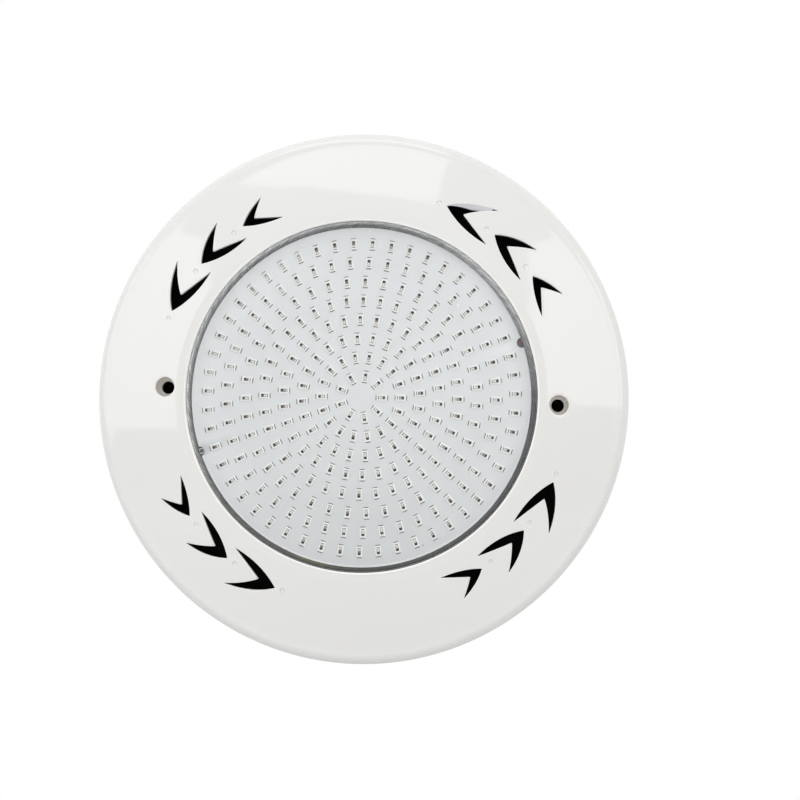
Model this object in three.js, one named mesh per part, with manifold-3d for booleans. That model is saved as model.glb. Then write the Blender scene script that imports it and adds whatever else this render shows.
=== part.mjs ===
// Surface-mounted underwater pool light: a round white ring-shaped cover around a potted LED lamp,
// standing on a wall bracket. Millimetres, +X right, +Z up. The back of the bracket is the plane y = 0
// and the light faces -Y, so a height h above the wall is y = -h.
import * as THREE from "three";
import { mergeVertices } from "three/addons/utils/BufferGeometryUtils.js";
import Module from "manifold-3d";

// ---------- driving dimensions ----------
const SEG = 72; // segments of the large turned pieces
const RING = {
  openR: 94.4, // radius of the opening around the lens
  openH: 35.5, // height of the opening's edge above the wall
  bandR: 99.6, // outer radius of the narrow band beside the opening
  bandH: 35.0,
  midR: 120,
  midH: 31.2, // the face falls gently outwards and is very slightly crowned
  cornerR: 138.5, // where the face turns down into the skirt
  cornerH: 27.2,
  outR: 145, // largest radius: the light is 290 across
  outH: 18.8,
  footR: 144.3,
  footH: 1.0,
  wall: 2.8,
  lipH: 32.6, // underside of the lip over the lens flange
  collarIn: 97.6, // short collar that centres the ring on the lens and the pot
  collarOut: 99.9,
  collarH: 29.0,
};
const FIX = {
  r: 106, // the two fixing screws sit on the horizontal centre line
  boreR: 3.2,
  sinkR: 5.3,
  seatH: 25.5,
  bossR: 8,
  bossH: 22.4,
};
// Vents: arrow-shaped slots in three sizes, four groups around the ring, tips pointing anticlockwise.
// Each outline is tip, notch, outer wing end, inner wing end, then the four edge control points,
// as [along the ring, outwards] from a centre at (r, angle).
const VENTS = [
  { r: 112.3, deg: 33.2, q: [8.9, -0.1, 1.3, 0.6, -7.0, 8.6, -12.0, -6.9, 2.3, 6.1, -2.8, 5.0, -4.7, -2.7, -0.1, -5.6] },
  { r: 112.3, deg: 47.4, q: [11.4, -0.1, 2.2, 0.1, -9.6, 10.1, -15.2, -7.6, 3.1, 8.4, -3.8, 6.3, -6.0, -3.1, -0.6, -8.3] },
  { r: 112.6, deg: 62.4, q: [12.1, -0.6, 2.0, -0.3, -11.8, 10.9, -15.6, -8.1, 2.9, 8.5, -3.8, 6.3, -6.0, -3.8, -0.5, -8.6] },
];
const DIMPLE = { r: 112.5, deg: [40.75, 55.75, 70.75], size: 1.35, depth: 0.35 };
const EAR = { r: 104, deg: 13, step: 90, holeR: 2.1, low: 20, high: 24 }; // four ears join pot and ring
const POT = { outR: 96.6, inR: 93.4, back: 8, floor: 11, rim: 30.4, rimR: 97.0, glandR: 8.2 };
const LENS = { r: 97.0, low: 30.7, flange: 32.3, top: 33.6, faceR: 92.0, shoulderR: 94.0 };
const BOARD = { r: 91.9, low: 25.6, top: 27.2, notchR: 3.2, notchAt: 91.2, deg: [21.0, 201.5] };
const SCREWAT = 90.6; // the two board screws stand in the notches
const LED = {
  len: 5.7,
  wid: 3.3,
  low: 27.5,
  top: 28.5,
  webTop: 27.7, // top of the thin sheet that joins neighbouring packages
  counts: [9, 18, 24, 30, 36, 39, 45, 51],
  radii: [11.2, 21.5, 31.8, 42.15, 52.45, 62.7, 73.0, 83.25],
  spoke: 21.5, // angle of the first spoke of the threefold layout
  onSpoke: [false, true, true, true, true, false, false, false],
};
const BRACKET = { r: 137, t: 3, holeR: 22, bossR: 7, bossH: 22.1, screwR: 2.75, screwAt: 70, padAt: 84, padH: 7.7 };
const INSERT = { seat: 5, low: 5.2, high: 13.2, inR: 1.7, outR: 2.95 }; // brass sleeves deep in the bracket bosses
const GUSSET = { low: 23.6, from: 0.06, full: 0.5, to: 0.94, gap: 0.15, thick: 1.5 }; // wall beside the uppermost large vent
const GLAND = { barrel: 7.9, bore: 4.2, hex: 12.7, low: 3.4, high: 7.7, inner: 16.6, tail: -3.6, nutTail: -12 };
const DRIVER = { r: 30, low: 17.6, top: 19.2 };

// ---------- solids ----------
const wasm = await Module();
wasm.setup();

function solid(geometry) {
  const g = geometry.index ? geometry.toNonIndexed() : geometry.clone();
  const bare = new THREE.BufferGeometry().setAttribute("position", g.getAttribute("position"));
  const m = mergeVertices(bare, 1e-4);
  const tri = [];
  const ix = m.index.array;
  for (let i = 0; i < ix.length; i += 3)
    if (ix[i] !== ix[i + 1] && ix[i + 1] !== ix[i + 2] && ix[i] !== ix[i + 2]) tri.push(ix[i], ix[i + 1], ix[i + 2]);
  const make = (t) =>
    new wasm.Manifold(new wasm.Mesh({ numProp: 3, vertProperties: new Float32Array(m.attributes.position.array), triVerts: new Uint32Array(t) }));
  const s = make(tri);
  if (s.volume() > 0) return s;
  for (let i = 0; i < tri.length; i += 3) [tri[i + 1], tri[i + 2]] = [tri[i + 2], tri[i + 1]];
  return make(tri);
}
function geometryOf(s) {
  const m = s.getMesh();
  const v = new Float32Array(m.numVert * 3);
  for (let i = 0; i < m.numVert; i++) v.set(m.vertProperties.subarray(i * m.numProp, i * m.numProp + 3), i * 3);
  const g = new THREE.BufferGeometry().setAttribute("position", new THREE.BufferAttribute(v, 3)).setIndex(new THREE.BufferAttribute(m.triVerts, 1));
  const out = g.toNonIndexed();
  out.computeVertexNormals();
  return out;
}
const rad = (d) => (d * Math.PI) / 180;
const polar = (r, deg) => [r * Math.cos(rad(deg)), r * Math.sin(rad(deg))];

// A turned piece about the light's axis; profile points are [radius, height above the wall].
function turned(profile, seg = SEG, closed = true) {
  const pts = profile.map(([r, h]) => new THREE.Vector2(r, -h));
  if (closed) pts.push(pts[0].clone());
  return solid(new THREE.LatheGeometry(pts, seg));
}
// A turned piece about an axis parallel to the light's axis, standing at (x, z).
function turnedAt(profile, x, z, seg) {
  const pts = profile.map(([r, h]) => new THREE.Vector2(r, -h));
  pts.push(pts[0].clone());
  return solid(new THREE.LatheGeometry(pts, seg).translate(x, 0, z));
}
// A plate of the given outline ([x, z] points) between two heights.
function plate(points, low, high) {
  const shape = new THREE.Shape(points.map(([x, z]) => new THREE.Vector2(x, z)));
  return solid(new THREE.ExtrudeGeometry(shape, { depth: high - low, bevelEnabled: false }).translate(0, 0, low).rotateX(Math.PI / 2));
}
function rod(x, z, r, low, high, seg = 16, turn = 0) {
  const g = new THREE.CylinderGeometry(r, r, high - low, seg).rotateY(turn).translate(x, -(low + high) / 2, z);
  return solid(g);
}
// A block centred at radius r and angle deg: length along the radius, width across it.
function block(r, deg, length, width, low, high) {
  const c = [
    [r - length / 2, -width / 2],
    [r + length / 2, -width / 2],
    [r + length / 2, width / 2],
    [r - length / 2, width / 2],
  ];
  const cs = Math.cos(rad(deg)), sn = Math.sin(rad(deg));
  return plate(c.map(([a, b]) => [a * cs - b * sn, a * sn + b * cs]), low, high);
}

// A closed body through sections of equal length, each a loop of points.
function loft(sections) {
  const n = sections[0].length, pos = [];
  const tri = (a, b, c) => pos.push(...a, ...b, ...c);
  for (let j = 0; j + 1 < sections.length; j++)
    for (let k = 0; k < n; k++) {
      const [a, b, c, d] = [sections[j][k], sections[j][(k + 1) % n], sections[j + 1][(k + 1) % n], sections[j + 1][k]];
      tri(a, b, c);
      tri(a, c, d);
    }
  const first = sections[0], last = sections[sections.length - 1];
  for (let k = 1; k + 1 < n; k++) {
    tri(first[0], first[k + 1], first[k]);
    tri(last[0], last[k], last[k + 1]);
  }
  let volume = 0;
  for (let i = 0; i < pos.length; i += 9) {
    const [ax, ay, az, bx, by, bz, cx, cy, cz] = pos.slice(i, i + 9);
    volume += ax * (by * cz - bz * cy) - ay * (bx * cz - bz * cx) + az * (bx * cy - by * cx);
  }
  if (volume < 0)
    for (let i = 0; i < pos.length; i += 9) {
      const t = pos.slice(i + 3, i + 6);
      for (let k = 0; k < 3; k++) (pos[i + 3 + k] = pos[i + 6 + k]), (pos[i + 6 + k] = t[k]);
    }
  return solid(new THREE.BufferGeometry().setAttribute("position", new THREE.Float32BufferAttribute(pos, 3)));
}

const group = new THREE.Group();
group.name = "pool_light";
function node(name, s, color, roughness, metalness = 0, extra = {}) {
  const mesh = new THREE.Mesh(geometryOf(s), new THREE.MeshStandardMaterial({ color, roughness, metalness, ...extra }));
  mesh.name = name;
  group.add(mesh);
  return s;
}

// ---------- face ring ----------
const arc = (a, b, n, from, to) =>
  Array.from({ length: n + 1 }, (_, i) => {
    const t = rad(from + ((to - from) * i) / n);
    return [RING.cornerR + a * Math.cos(t), RING.outH + b * Math.sin(t)];
  });
const R = RING;
const ringProfile = [
  [R.openR + 0.2, R.lipH],
  [R.openR, R.openH - 0.9],
  [R.openR + 0.25, R.openH - 0.25],
  [R.openR + 0.9, R.openH],
  [R.bandR, R.bandH],
  [R.midR, R.midH],
  ...arc(R.outR - R.cornerR, R.cornerH - R.outH, 5, 90, 0),
  [R.footR, R.footH],
  [R.footR - R.wall, R.footH],
  ...arc(R.outR - R.cornerR - R.wall, R.cornerH - R.outH - R.wall, 2, 0, 90),
  [R.midR, R.midH - R.wall],
  [R.collarOut, R.bandH - R.wall],
  [R.collarOut, R.collarH],
  [R.collarIn, R.collarH],
  [R.collarIn, R.lipH],
];
let ring = turned(ringProfile);

// underside ribs, screw bosses
const underside = (r) => (r < R.midR ? R.bandH + ((R.midH - R.bandH) * (r - R.bandR)) / (R.midR - R.bandR) : R.midH + ((R.cornerH - R.midH) * (r - R.midR)) / (R.cornerR - R.midR)) - R.wall;
for (let k = 0; k < 4; k++) {
  for (const deg of [22 + 90 * k, 77 + 90 * k]) {
    const cs = Math.cos(rad(deg)), sn = Math.sin(rad(deg));
    // rib outline in the radial plane, thickened to 1.8
    const prof = [[99, 24], [142.4, 12], [142.4, 21], [139, underside(138.5) + 0.6], [120, underside(120) + 0.8], [99, underside(99.9) + 0.8]];
    const shape = new THREE.Shape(prof.map(([r, h]) => new THREE.Vector2(r, h)));
    const g = new THREE.ExtrudeGeometry(shape, { depth: 1.8, bevelEnabled: false }).translate(0, 0, -0.9);
    // local (r, h, thickness) to world (x, y, z)
    g.applyMatrix4(new THREE.Matrix4().set(cs, 0, -sn, 0, 0, -1, 0, 0, sn, 0, cs, 0, 0, 0, 0, 1));
    ring = ring.add(solid(g));
  }
}
for (const s of [1, -1]) ring = ring.add(rod(s * FIX.r, 0, FIX.bossR, FIX.bossH, 32.2, 24));
for (let k = 0; k < 4; k++) {
  const [x, z] = polar(EAR.r, EAR.deg + EAR.step * k);
  ring = ring.add(rod(x, z, 4.2, EAR.high + 0.3, 32.4, 14));
}
// fixing screw holes with their counterbores
for (const s of [1, -1]) {
  ring = ring.subtract(rod(s * FIX.r, 0, FIX.boreR, 20, 40, 20));
  ring = ring.subtract(rod(s * FIX.r, 0, FIX.sinkR, FIX.seatH, 40, 24));
}
for (let k = 0; k < 4; k++) {
  const [x, z] = polar(EAR.r, EAR.deg + EAR.step * k);
  ring = ring.subtract(rod(x, z, 1.9, 20, 31.2, 10));
}
// the collar and lip stay clear of the lens
ring = ring.subtract(turned([[0, 20], [R.collarIn, 20], [R.collarIn, R.lipH], [0, R.lipH]], SEG, true));

function bezier(p0, c, p1, n) {
  const out = [];
  for (let i = 0; i < n; i++) {
    const u = i / n;
    out.push([(1 - u) ** 2 * p0[0] + 2 * u * (1 - u) * c[0] + u * u * p1[0], (1 - u) ** 2 * p0[1] + 2 * u * (1 - u) * c[1] + u * u * p1[1]]);
  }
  return out;
}
function ventOutline(v, turn) {
  const q = v.q;
  const T = [q[0], q[1]], N = [q[2], q[3]], O = [q[4], q[5]], I = [q[6], q[7]];
  const loop = [
    ...bezier(T, [q[8], q[9]], O, 4),
    ...bezier(O, [q[10], q[11]], N, 2),
    ...bezier(N, [q[12], q[13]], I, 2),
    ...bezier(I, [q[14], q[15]], T, 4),
  ];
  const cs = Math.cos(rad(v.deg + turn)), sn = Math.sin(rad(v.deg + turn));
  return loop.map(([t, s]) => [(v.r + s) * cs - t * sn, (v.r + s) * sn + t * cs]);
}
for (let k = 0; k < 4; k++) {
  for (const v of VENTS) ring = ring.subtract(plate(ventOutline(v, 90 * k), 24, 40));
  for (const d of DIMPLE.deg) {
    const [x, z] = polar(DIMPLE.r, d + 90 * k);
    const h = R.bandH + ((R.midH - R.bandH) * (DIMPLE.r - R.bandR)) / (R.midR - R.bandR);
    ring = ring.subtract(rod(x, z, DIMPLE.size, h - DIMPLE.depth, h + 2, 8));
  }
}
// a wall on the underside follows the outward edge of the uppermost large vent
{
  const v = VENTS[2], q = v.q, cs = Math.cos(rad(v.deg)), sn = Math.sin(rad(v.deg));
  const T = [q[0], q[1]], O = [q[4], q[5]], C = [q[8], q[9]];
  const sections = [0, 1, 2, 3, 4, 5].map((i) => {
    const u = GUSSET.from + ((GUSSET.to - GUSSET.from) * i) / 5;
    const p = [0, 1].map((k) => (1 - u) ** 2 * T[k] + 2 * u * (1 - u) * C[k] + u * u * O[k]);
    const d = [0, 1].map((k) => 2 * (1 - u) * (C[k] - T[k]) + 2 * u * (O[k] - C[k]));
    const len = Math.hypot(...d), n = [d[1] / len, -d[0] / len]; // away from the vent
    if (n[1] < 0) n.forEach((_, k) => (n[k] *= -1));
    const at = (off) => {
      const t = p[0] + n[0] * off, s = v.r + p[1] + n[1] * off;
      return [s * cs - t * sn, s * sn + t * cs];
    };
    const a = at(GUSSET.gap), b = at(GUSSET.gap + GUSSET.thick);
    const high = underside(Math.hypot(...b)) + 0.9;
    const low = high - 2 - (high - 2 - GUSSET.low) * Math.min(1, (u - GUSSET.from) / (GUSSET.full - GUSSET.from));
    return [[a, low], [b, low], [b, high], [a, high]].map(([[x, z], h]) => [x, -h, z]);
  });
  ring = ring.add(loft(sections));
}
node("face_ring", ring, 0xf2f2ee, 0.25);

// ---------- rear housing: the pot that holds the lamp ----------
const P = POT;
let pot = turned([
  [P.glandR, P.back],
  [P.outR - 3, P.back],
  [P.outR, P.back + 3],
  [P.outR, P.rim - 3.5],
  [P.rimR, P.rim - 2.6],
  [P.rimR, P.rim],
  [96.1, P.rim],
  [96.1, P.rim - 1.5],
  [94.3, P.rim - 1.5],
  [94.3, P.rim],
  [P.inR, P.rim],
  [P.inR, P.floor],
  [P.glandR, P.floor],
], 64);
for (let k = 0; k < 4; k++) {
  const deg = EAR.deg + EAR.step * k;
  const [x, z] = polar(EAR.r, deg);
  let ear = block(EAR.r - 4.6, deg, 9.2, 10, EAR.low, EAR.high).add(rod(x, z, 5, EAR.low, EAR.high, 16));
  ear = ear.add(block(97.6, deg, 4.6, 2.2, 13, EAR.low + 0.5));
  pot = pot.add(ear).subtract(rod(x, z, EAR.holeR, 10, 30, 12));
}
for (const d of BOARD.deg) {
  const [x, z] = polar(SCREWAT, d);
  pot = pot.add(rod(x, z, 3.0, P.floor - 0.5, 25.3, 12).add(block(92.3, d, 3.2, 3.2, P.floor - 0.5, 25.3)));
  pot = pot.subtract(rod(x, z, 1.5, 14, 26, 10));
}
for (const d of [30, 150, 270]) {
  const [x, z] = polar(25, d);
  pot = pot.add(rod(x, z, 2.4, P.floor - 0.5, DRIVER.low - 0.3, 10));
}
node("rear_housing", pot, 0x26272a, 0.5);

node("lens_gasket", turned([[94.6, P.rim - 1.2], [95.8, P.rim - 1.2], [95.8, P.rim], [94.6, P.rim]], 64), 0x9a9c9e, 0.7);

// ---------- lens, clear potting, LED board ----------
const L = LENS;
node("lens_cover", turned([[0, L.low], [L.r, L.low], [L.r, L.flange], [L.shoulderR, L.flange], [93.7, 33.0], [93.1, 33.4], [L.faceR, L.top], [0, L.top]], 64, false), 0xf4f8fa, 0.08, 0, { transparent: true, opacity: 0.25 });
let clear = turned([[0, 28.8], [92.3, 28.8], [92.3, 25.7], [93.1, 25.7], [93.1, 30.4], [0, 30.4]], 64, false);
for (const d of BOARD.deg) clear = clear.subtract(rod(...polar(SCREWAT, d), 2.8, 20, 28.8, 12)); // room for the screw heads
node("front_resin", clear, 0xf0f4f6, 0.1, 0, { transparent: true, opacity: 0.25 });

let board = turned([[0, BOARD.low], [BOARD.r, BOARD.low], [BOARD.r, BOARD.top], [0, BOARD.top]], SEG, false);
for (const d of BOARD.deg) {
  const [x, z] = polar(BOARD.notchAt, d);
  board = board.subtract(rod(x, z, BOARD.notchR, 20, 30, 16));
}
node("led_board", board, 0xe2e6ea, 0.45);

// One ring of LED packages. Neighbouring packages are joined by a thin sheet, so that a ring is one body:
// the surface is built directly, four section corners at each side of each package.
function ledRing(r, n, phase) {
  const pos = [];
  const at = (k, side, radial, h) => {
    const a = phase + (360 * k) / n, cs = Math.cos(rad(a)), sn = Math.sin(rad(a));
    const u = r + (radial * LED.len) / 2, w = (side * LED.wid) / 2;
    return [u * cs - w * sn, -h, u * sn + w * cs];
  };
  const tri = (a, b, c) => pos.push(...a, ...b, ...c);
  const quad = (a, b, c, d) => (tri(a, b, c), tri(a, c, d));
  const { low, webTop: mid, top } = LED;
  for (let k = 0; k < n; k++) {
    const P = (side, radial, h, j = k) => at(j, side, radial, h);
    // package: top, bottom, the two faces that look along the ring
    quad(P(-1, -1, top), P(-1, 1, top), P(1, 1, top), P(1, -1, top));
    quad(P(-1, -1, low), P(1, -1, low), P(1, 1, low), P(-1, 1, low));
    quad(P(1, -1, mid), P(1, -1, top), P(1, 1, top), P(1, 1, mid));
    quad(P(-1, -1, mid), P(-1, 1, mid), P(-1, 1, top), P(-1, -1, top));
    // package: outward and inward faces, with a corner at the sheet's height
    for (const m of [1, -1]) {
      const f = (a, b, c) => (m > 0 ? tri(a, b, c) : tri(a, c, b));
      f(P(-1, m, low), P(1, m, low), P(1, m, mid));
      f(P(-1, m, low), P(1, m, mid), P(1, m, top));
      f(P(-1, m, low), P(1, m, top), P(-1, m, top));
      f(P(-1, m, low), P(-1, m, top), P(-1, m, mid));
    }
    // sheet to the next package
    const A = (radial, h) => P(1, radial, h), C = (radial, h) => P(-1, radial, h, k + 1);
    quad(A(-1, mid), A(1, mid), C(1, mid), C(-1, mid));
    quad(A(-1, low), C(-1, low), C(1, low), A(1, low));
    quad(A(1, low), C(1, low), C(1, mid), A(1, mid));
    quad(A(-1, low), A(-1, mid), C(-1, mid), C(-1, low));
  }
  return solid(new THREE.BufferGeometry().setAttribute("position", new THREE.BufferAttribute(new Float32Array(pos), 3)));
}
LED.counts.forEach((n, i) =>
  node("led_ring_" + (i + 1), ledRing(LED.radii[i], n, LED.spoke + (LED.onSpoke[i] ? 0 : 180 / n)), 0xf3efe0, 0.4),
);

BOARD.deg.forEach((d, i) => {
  const [x, z] = polar(SCREWAT, d);
  node("board_screw_" + (i + 1), turnedAt([[0, 16], [1.2, 16], [1.2, 25.6], [2.2, 25.6], [2.2, 26.8], [1.7, 27.5], [0, 27.6]], x, z, 14), i ? 0xc9ccd0 : 0xb06a52, 0.35, 0.9);
});

// ---------- rear potting and the driver inside it ----------
let potting = turned([[33, P.floor + 0.3], [93.1, P.floor + 0.3], [93.1, 25.3], [33, 25.3]], 48);
for (const d of BOARD.deg) {
  const [x, z] = polar(SCREWAT, d);
  potting = potting.subtract(rod(x, z, 3.4, 0, 30, 12)).subtract(block(93, d, 6, 5, 0, 30));
}
node("rear_resin", potting, 0x3a3c40, 0.35);

let driver = turned([[4.5, DRIVER.low], [DRIVER.r, DRIVER.low], [DRIVER.r, DRIVER.top], [4.5, DRIVER.top]], 24);
node("driver_board", driver, 0x2f6b3e, 0.5);
const top = DRIVER.top + 0.3;
node("bridge_rectifier", block(18, 200, 9, 12, top, top + 3.6), 0x1c1c1e, 0.5);
node("choke_coil", turnedAt([[0, top], [6, top], [6, top + 0.9], [4.4, top + 0.9], [4.4, top + 4], [6, top + 4], [6, top + 4.9], [0, top + 4.9]], ...polar(18, 95), 16), 0x4a3a2c, 0.5, 0.2);
node("capacitor_1", rod(...polar(18, 320), 4, top, top + 5, 16), 0x2b3f57, 0.35, 0.4);
node("capacitor_2", rod(...polar(19.5, 355), 4, top, top + 5, 16), 0x2b3f57, 0.35, 0.4);
node("driver_ic", block(19, 145, 5, 4, top, top + 1.6), 0x1a1a1c, 0.5);
node("led_lead_positive", rod(5, -4.5, 0.9, top, BOARD.low, 8), 0xb02a22, 0.5);
node("led_lead_negative", rod(-5, -4.5, 0.9, top, BOARD.low, 8), 0x1e1e20, 0.5);

// ---------- screws that hold the ring to the ears of the pot ----------
for (let k = 0; k < 4; k++) {
  const [x, z] = polar(EAR.r, EAR.deg + EAR.step * k);
  node("ring_screw_" + (k + 1), turnedAt([[0, 17.2], [2.6, 17.5], [3.4, 18.6], [3.4, 19.7], [1.5, 19.7], [1.5, 29.6], [0, 30.8]], x, z, 12), 0xc4c6c8, 0.35, 0.9);
}

// ---------- cable gland at the centre of the back ----------
const G = GLAND;
const hexagon = (r, h0, h1) => rod(0, 0, r, h0, h1, 6, Math.PI / 6);
let gland = turned([
  [G.bore, G.inner], [G.barrel, G.inner], [G.barrel, G.high - 1], [11.2, G.high - 1], [11.2, G.low],
  [7.6, G.low], [7.6, G.tail], [6.2, G.tail], [6.2, 2.4], [G.bore, 2.4],
], 24);
gland = gland.add(hexagon(G.hex, G.low, G.high).subtract(rod(0, 0, 9, 0, 20, 24)));
gland = gland.subtract(turned([[9, G.high - 1.4], [11, G.high - 1.4], [11, G.high + 2], [9, G.high + 2]], 24));
node("gland_body", gland, 0x1f2022, 0.5);
node("gland_oring", turned([[9.35, G.high - 1.1], [10.65, G.high - 1.1], [10.65, G.high - 0.1], [10.3, G.high + 0.05], [9.7, G.high + 0.05], [9.35, G.high - 0.1]], 24), 0x101011, 0.8);
node("gland_locknut", hexagon(12.2, P.floor + 0.3, 16.2).subtract(rod(0, 0, 8.2, 5, 20, 24)), 0x1f2022, 0.5);
node("gland_seal", turned([[4.0, -3.9], [5.9, -3.9], [5.9, 2.1], [4.0, 2.1]], 24), 0x151516, 0.85);
let nut = hexagon(G.hex, -6.5, 3.1).add(turned([[0, -12], [7.6, -12], [10, -9.6], [11.0, -6.3], [0, -6.3]], 24, false));
nut = nut.subtract(turned([[0, 4], [7.9, 4], [7.9, -4.2], [5.0, -7], [5.0, -20], [0, -20]], 24, false));
node("gland_nut", nut, 0x1f2022, 0.5);

// ---------- wall bracket ----------
const B = BRACKET;
let bracket = turned([[B.holeR, 0], [B.r, 0], [B.r, B.t], [B.holeR, B.t]], 64);
bracket = bracket.add(turned([[133.4, 0.5], [135.8, 0.5], [135.8, 7], [133.4, 7]], 64)); // stiffening wall
for (const s of [1, -1]) {
  bracket = bracket.add(rod(s * FIX.r, 0, B.bossR, B.t - 0.5, B.bossH, 20));
  bracket = bracket.add(block(120, s > 0 ? 0 : 180, 28.5, 2.2, B.t - 0.5, 7));
  bracket = bracket.subtract(rod(s * FIX.r, 0, 3.3, INSERT.seat, 30, 16));
}
for (let k = 0; k < 4; k++) {
  bracket = bracket.subtract(rod(...polar(B.screwAt, 45 + 90 * k), B.screwR, -5, 10, 14)); // wall screw holes
  bracket = bracket.add(block(B.padAt, 90 * k + 20, 10, 16, B.t - 0.5, B.padH)); // pads the pot rests on
}
node("wall_bracket", bracket, 0x1d1e20, 0.55);
for (const [name, s] of [["bracket_insert_right", 1], ["bracket_insert_left", -1]])
  node(name, turnedAt([[INSERT.inR, INSERT.low], [INSERT.outR, INSERT.low], [INSERT.outR, INSERT.high], [INSERT.inR, INSERT.high]], s * FIX.r, 0, 14), 0xb98f3c, 0.35, 0.95);

export default group;
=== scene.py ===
import bpy, bmesh, math, random
from mathutils import Vector, Matrix


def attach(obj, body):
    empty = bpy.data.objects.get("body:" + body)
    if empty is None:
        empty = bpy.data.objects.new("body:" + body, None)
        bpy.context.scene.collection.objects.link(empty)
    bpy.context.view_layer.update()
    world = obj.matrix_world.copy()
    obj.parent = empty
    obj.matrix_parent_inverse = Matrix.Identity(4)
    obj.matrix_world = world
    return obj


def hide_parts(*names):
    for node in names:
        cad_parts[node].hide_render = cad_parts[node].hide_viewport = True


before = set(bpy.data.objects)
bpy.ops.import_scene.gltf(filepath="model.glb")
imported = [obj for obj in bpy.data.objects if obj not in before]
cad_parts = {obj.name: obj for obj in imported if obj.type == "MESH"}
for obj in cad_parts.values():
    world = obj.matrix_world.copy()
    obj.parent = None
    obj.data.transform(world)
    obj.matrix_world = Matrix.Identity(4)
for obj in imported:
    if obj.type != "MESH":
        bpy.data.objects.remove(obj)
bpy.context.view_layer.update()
MM = 0.001
rad = math.radians
random.seed(7)

# ------------------------------------------------------------------ helpers
COL = bpy.context.scene.collection


def new_object(name, verts, faces, mat=None, body=None, sharp=32, mats=None, face_mats=None):
    """A mesh object in metres from millimetre points (x, height above the wall, z)."""
    me = bpy.data.meshes.new(name)
    me.from_pydata([(x * MM, -h * MM, z * MM) for x, h, z in verts], [], faces)
    me.validate()
    bm = bmesh.new()
    bm.from_mesh(me)
    bmesh.ops.remove_doubles(bm, verts=bm.verts, dist=1e-7)
    bmesh.ops.recalc_face_normals(bm, faces=bm.faces)
    bm.to_mesh(me)
    bm.free()
    o = bpy.data.objects.new(name, me)
    COL.objects.link(o)
    for m in mats or ([mat] if mat else []):
        me.materials.append(m)
    if face_mats:
        for p, i in zip(me.polygons, face_mats):
            p.material_index = i
    smooth(o, sharp)
    if body:
        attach(o, body)
    return o


def smooth(o, angle=32):
    me = o.data
    me.polygons.foreach_set("use_smooth", [True] * len(me.polygons))
    me.set_sharp_from_angle(angle=rad(angle))
    me.update()


def apply_modifiers(o):
    dg = bpy.context.evaluated_depsgraph_get()
    me = bpy.data.meshes.new_from_object(o.evaluated_get(dg))
    old = o.data
    o.modifiers.clear()
    o.data = me
    bpy.data.meshes.remove(old)


def join_raw(parts):
    """Joins [(verts, faces)] lists into one."""
    V, F = [], []
    for v, f in parts:
        b = len(V)
        V += v
        F += [[i + b for i in q] for q in f]
    return V, F


def lathe_raw(profile, seg, cx=0.0, cz=0.0, closed=True, turn=0.0):
    """profile: [(r, h)]. A closed loop, or open with both ends on the axis."""
    V, F = [], []
    n = len(profile)
    idx = []
    for r, h in profile:
        if r < 1e-6:
            V.append((cx, h, cz))
            idx.append([len(V) - 1] * seg)
        else:
            row = []
            for k in range(seg):
                a = turn + 2 * math.pi * k / seg
                V.append((cx + r * math.cos(a), h, cz + r * math.sin(a)))
                row.append(len(V) - 1)
            idx.append(row)
    for i in range(n if closed else n - 1):
        A, B = idx[i], idx[(i + 1) % n]
        for k in range(seg):
            q = [A[k], A[(k + 1) % seg], B[(k + 1) % seg], B[k]]
            u = []
            for x in q:
                if x not in u:
                    u.append(x)
            if len(u) > 2:
                F.append(u)
    return V, F


def loft_raw(loops):
    """Closed solid through loops of equal length (each [(x, h, z)]), capped at both ends."""
    V, F = [], []
    n = len(loops[0])
    for lp in loops:
        V += lp
    for j in range(len(loops) - 1):
        for k in range(n):
            a, b = j * n + k, j * n + (k + 1) % n
            F.append([a, b, b + n, a + n])
    F.append(list(range(n))[::-1])
    F.append(list(range((len(loops) - 1) * n, len(loops) * n)))
    return V, F


def box_raw(r, deg, length, width, low, high, bevel=0.0, du=0.0, dw=0.0, top_in=0.0):
    """Box at radius r, angle deg; length along the radius, width across; optional chamfer on the top edges."""
    cs, sn = math.cos(rad(deg)), math.sin(rad(deg))

    def P(u, w, h):
        u += r + du
        w += dw
        return (u * cs - w * sn, h, u * sn + w * cs)

    a, b = length / 2, width / 2
    rings = [[(-a, -b), (a, -b), (a, b), (-a, b)]]
    hs = [low]
    if bevel > 0:
        rings += [rings[0], [(-a + bevel, -b + bevel), (a - bevel, -b + bevel), (a - bevel, b - bevel), (-a + bevel, b - bevel)]]
        hs += [high - bevel, high]
    else:
        rings += [rings[0]]
        hs += [high]
    return loft_raw([[P(u, w, h) for u, w in rg] for rg, h in zip(rings, hs)])


def rounded(points, seg=6):
    """Closed or open polyline of (r, h, radius): each corner replaced by an arc."""
    out = []
    n = len(points)
    for i, (r, h, rr) in enumerate(points):
        p = Vector((r, h))
        if rr <= 0:
            out.append((r, h))
            continue
        a = Vector(points[i - 1][:2]) - p
        b = Vector(points[(i + 1) % n][:2]) - p
        la, lb = a.length, b.length
        a.normalize()
        b.normalize()
        ang = a.angle(b)
        t = min(rr / math.tan(ang / 2), la * 0.48, lb * 0.48)
        rr = t * math.tan(ang / 2)
        c = p + (a + b).normalized() * (rr / math.sin(ang / 2))
        s, e = p + a * t, p + b * t
        a0 = math.atan2(s.y - c.y, s.x - c.x)
        a1 = math.atan2(e.y - c.y, e.x - c.x)
        d = (a1 - a0 + math.pi) % (2 * math.pi) - math.pi
        for k in range(seg + 1):
            t2 = a0 + d * k / seg
            out.append((c.x + rr * math.cos(t2), c.y + rr * math.sin(t2)))
    return out


def boolean(o, other, op):
    m = o.modifiers.new("b", "BOOLEAN")
    m.operation = op
    m.object = other
    try:
        m.solver = "MANIFOLD"
    except TypeError:
        m.solver = "EXACT"
    apply_modifiers(o)
    me = other.data
    bpy.data.objects.remove(other)
    bpy.data.meshes.remove(me)


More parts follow.
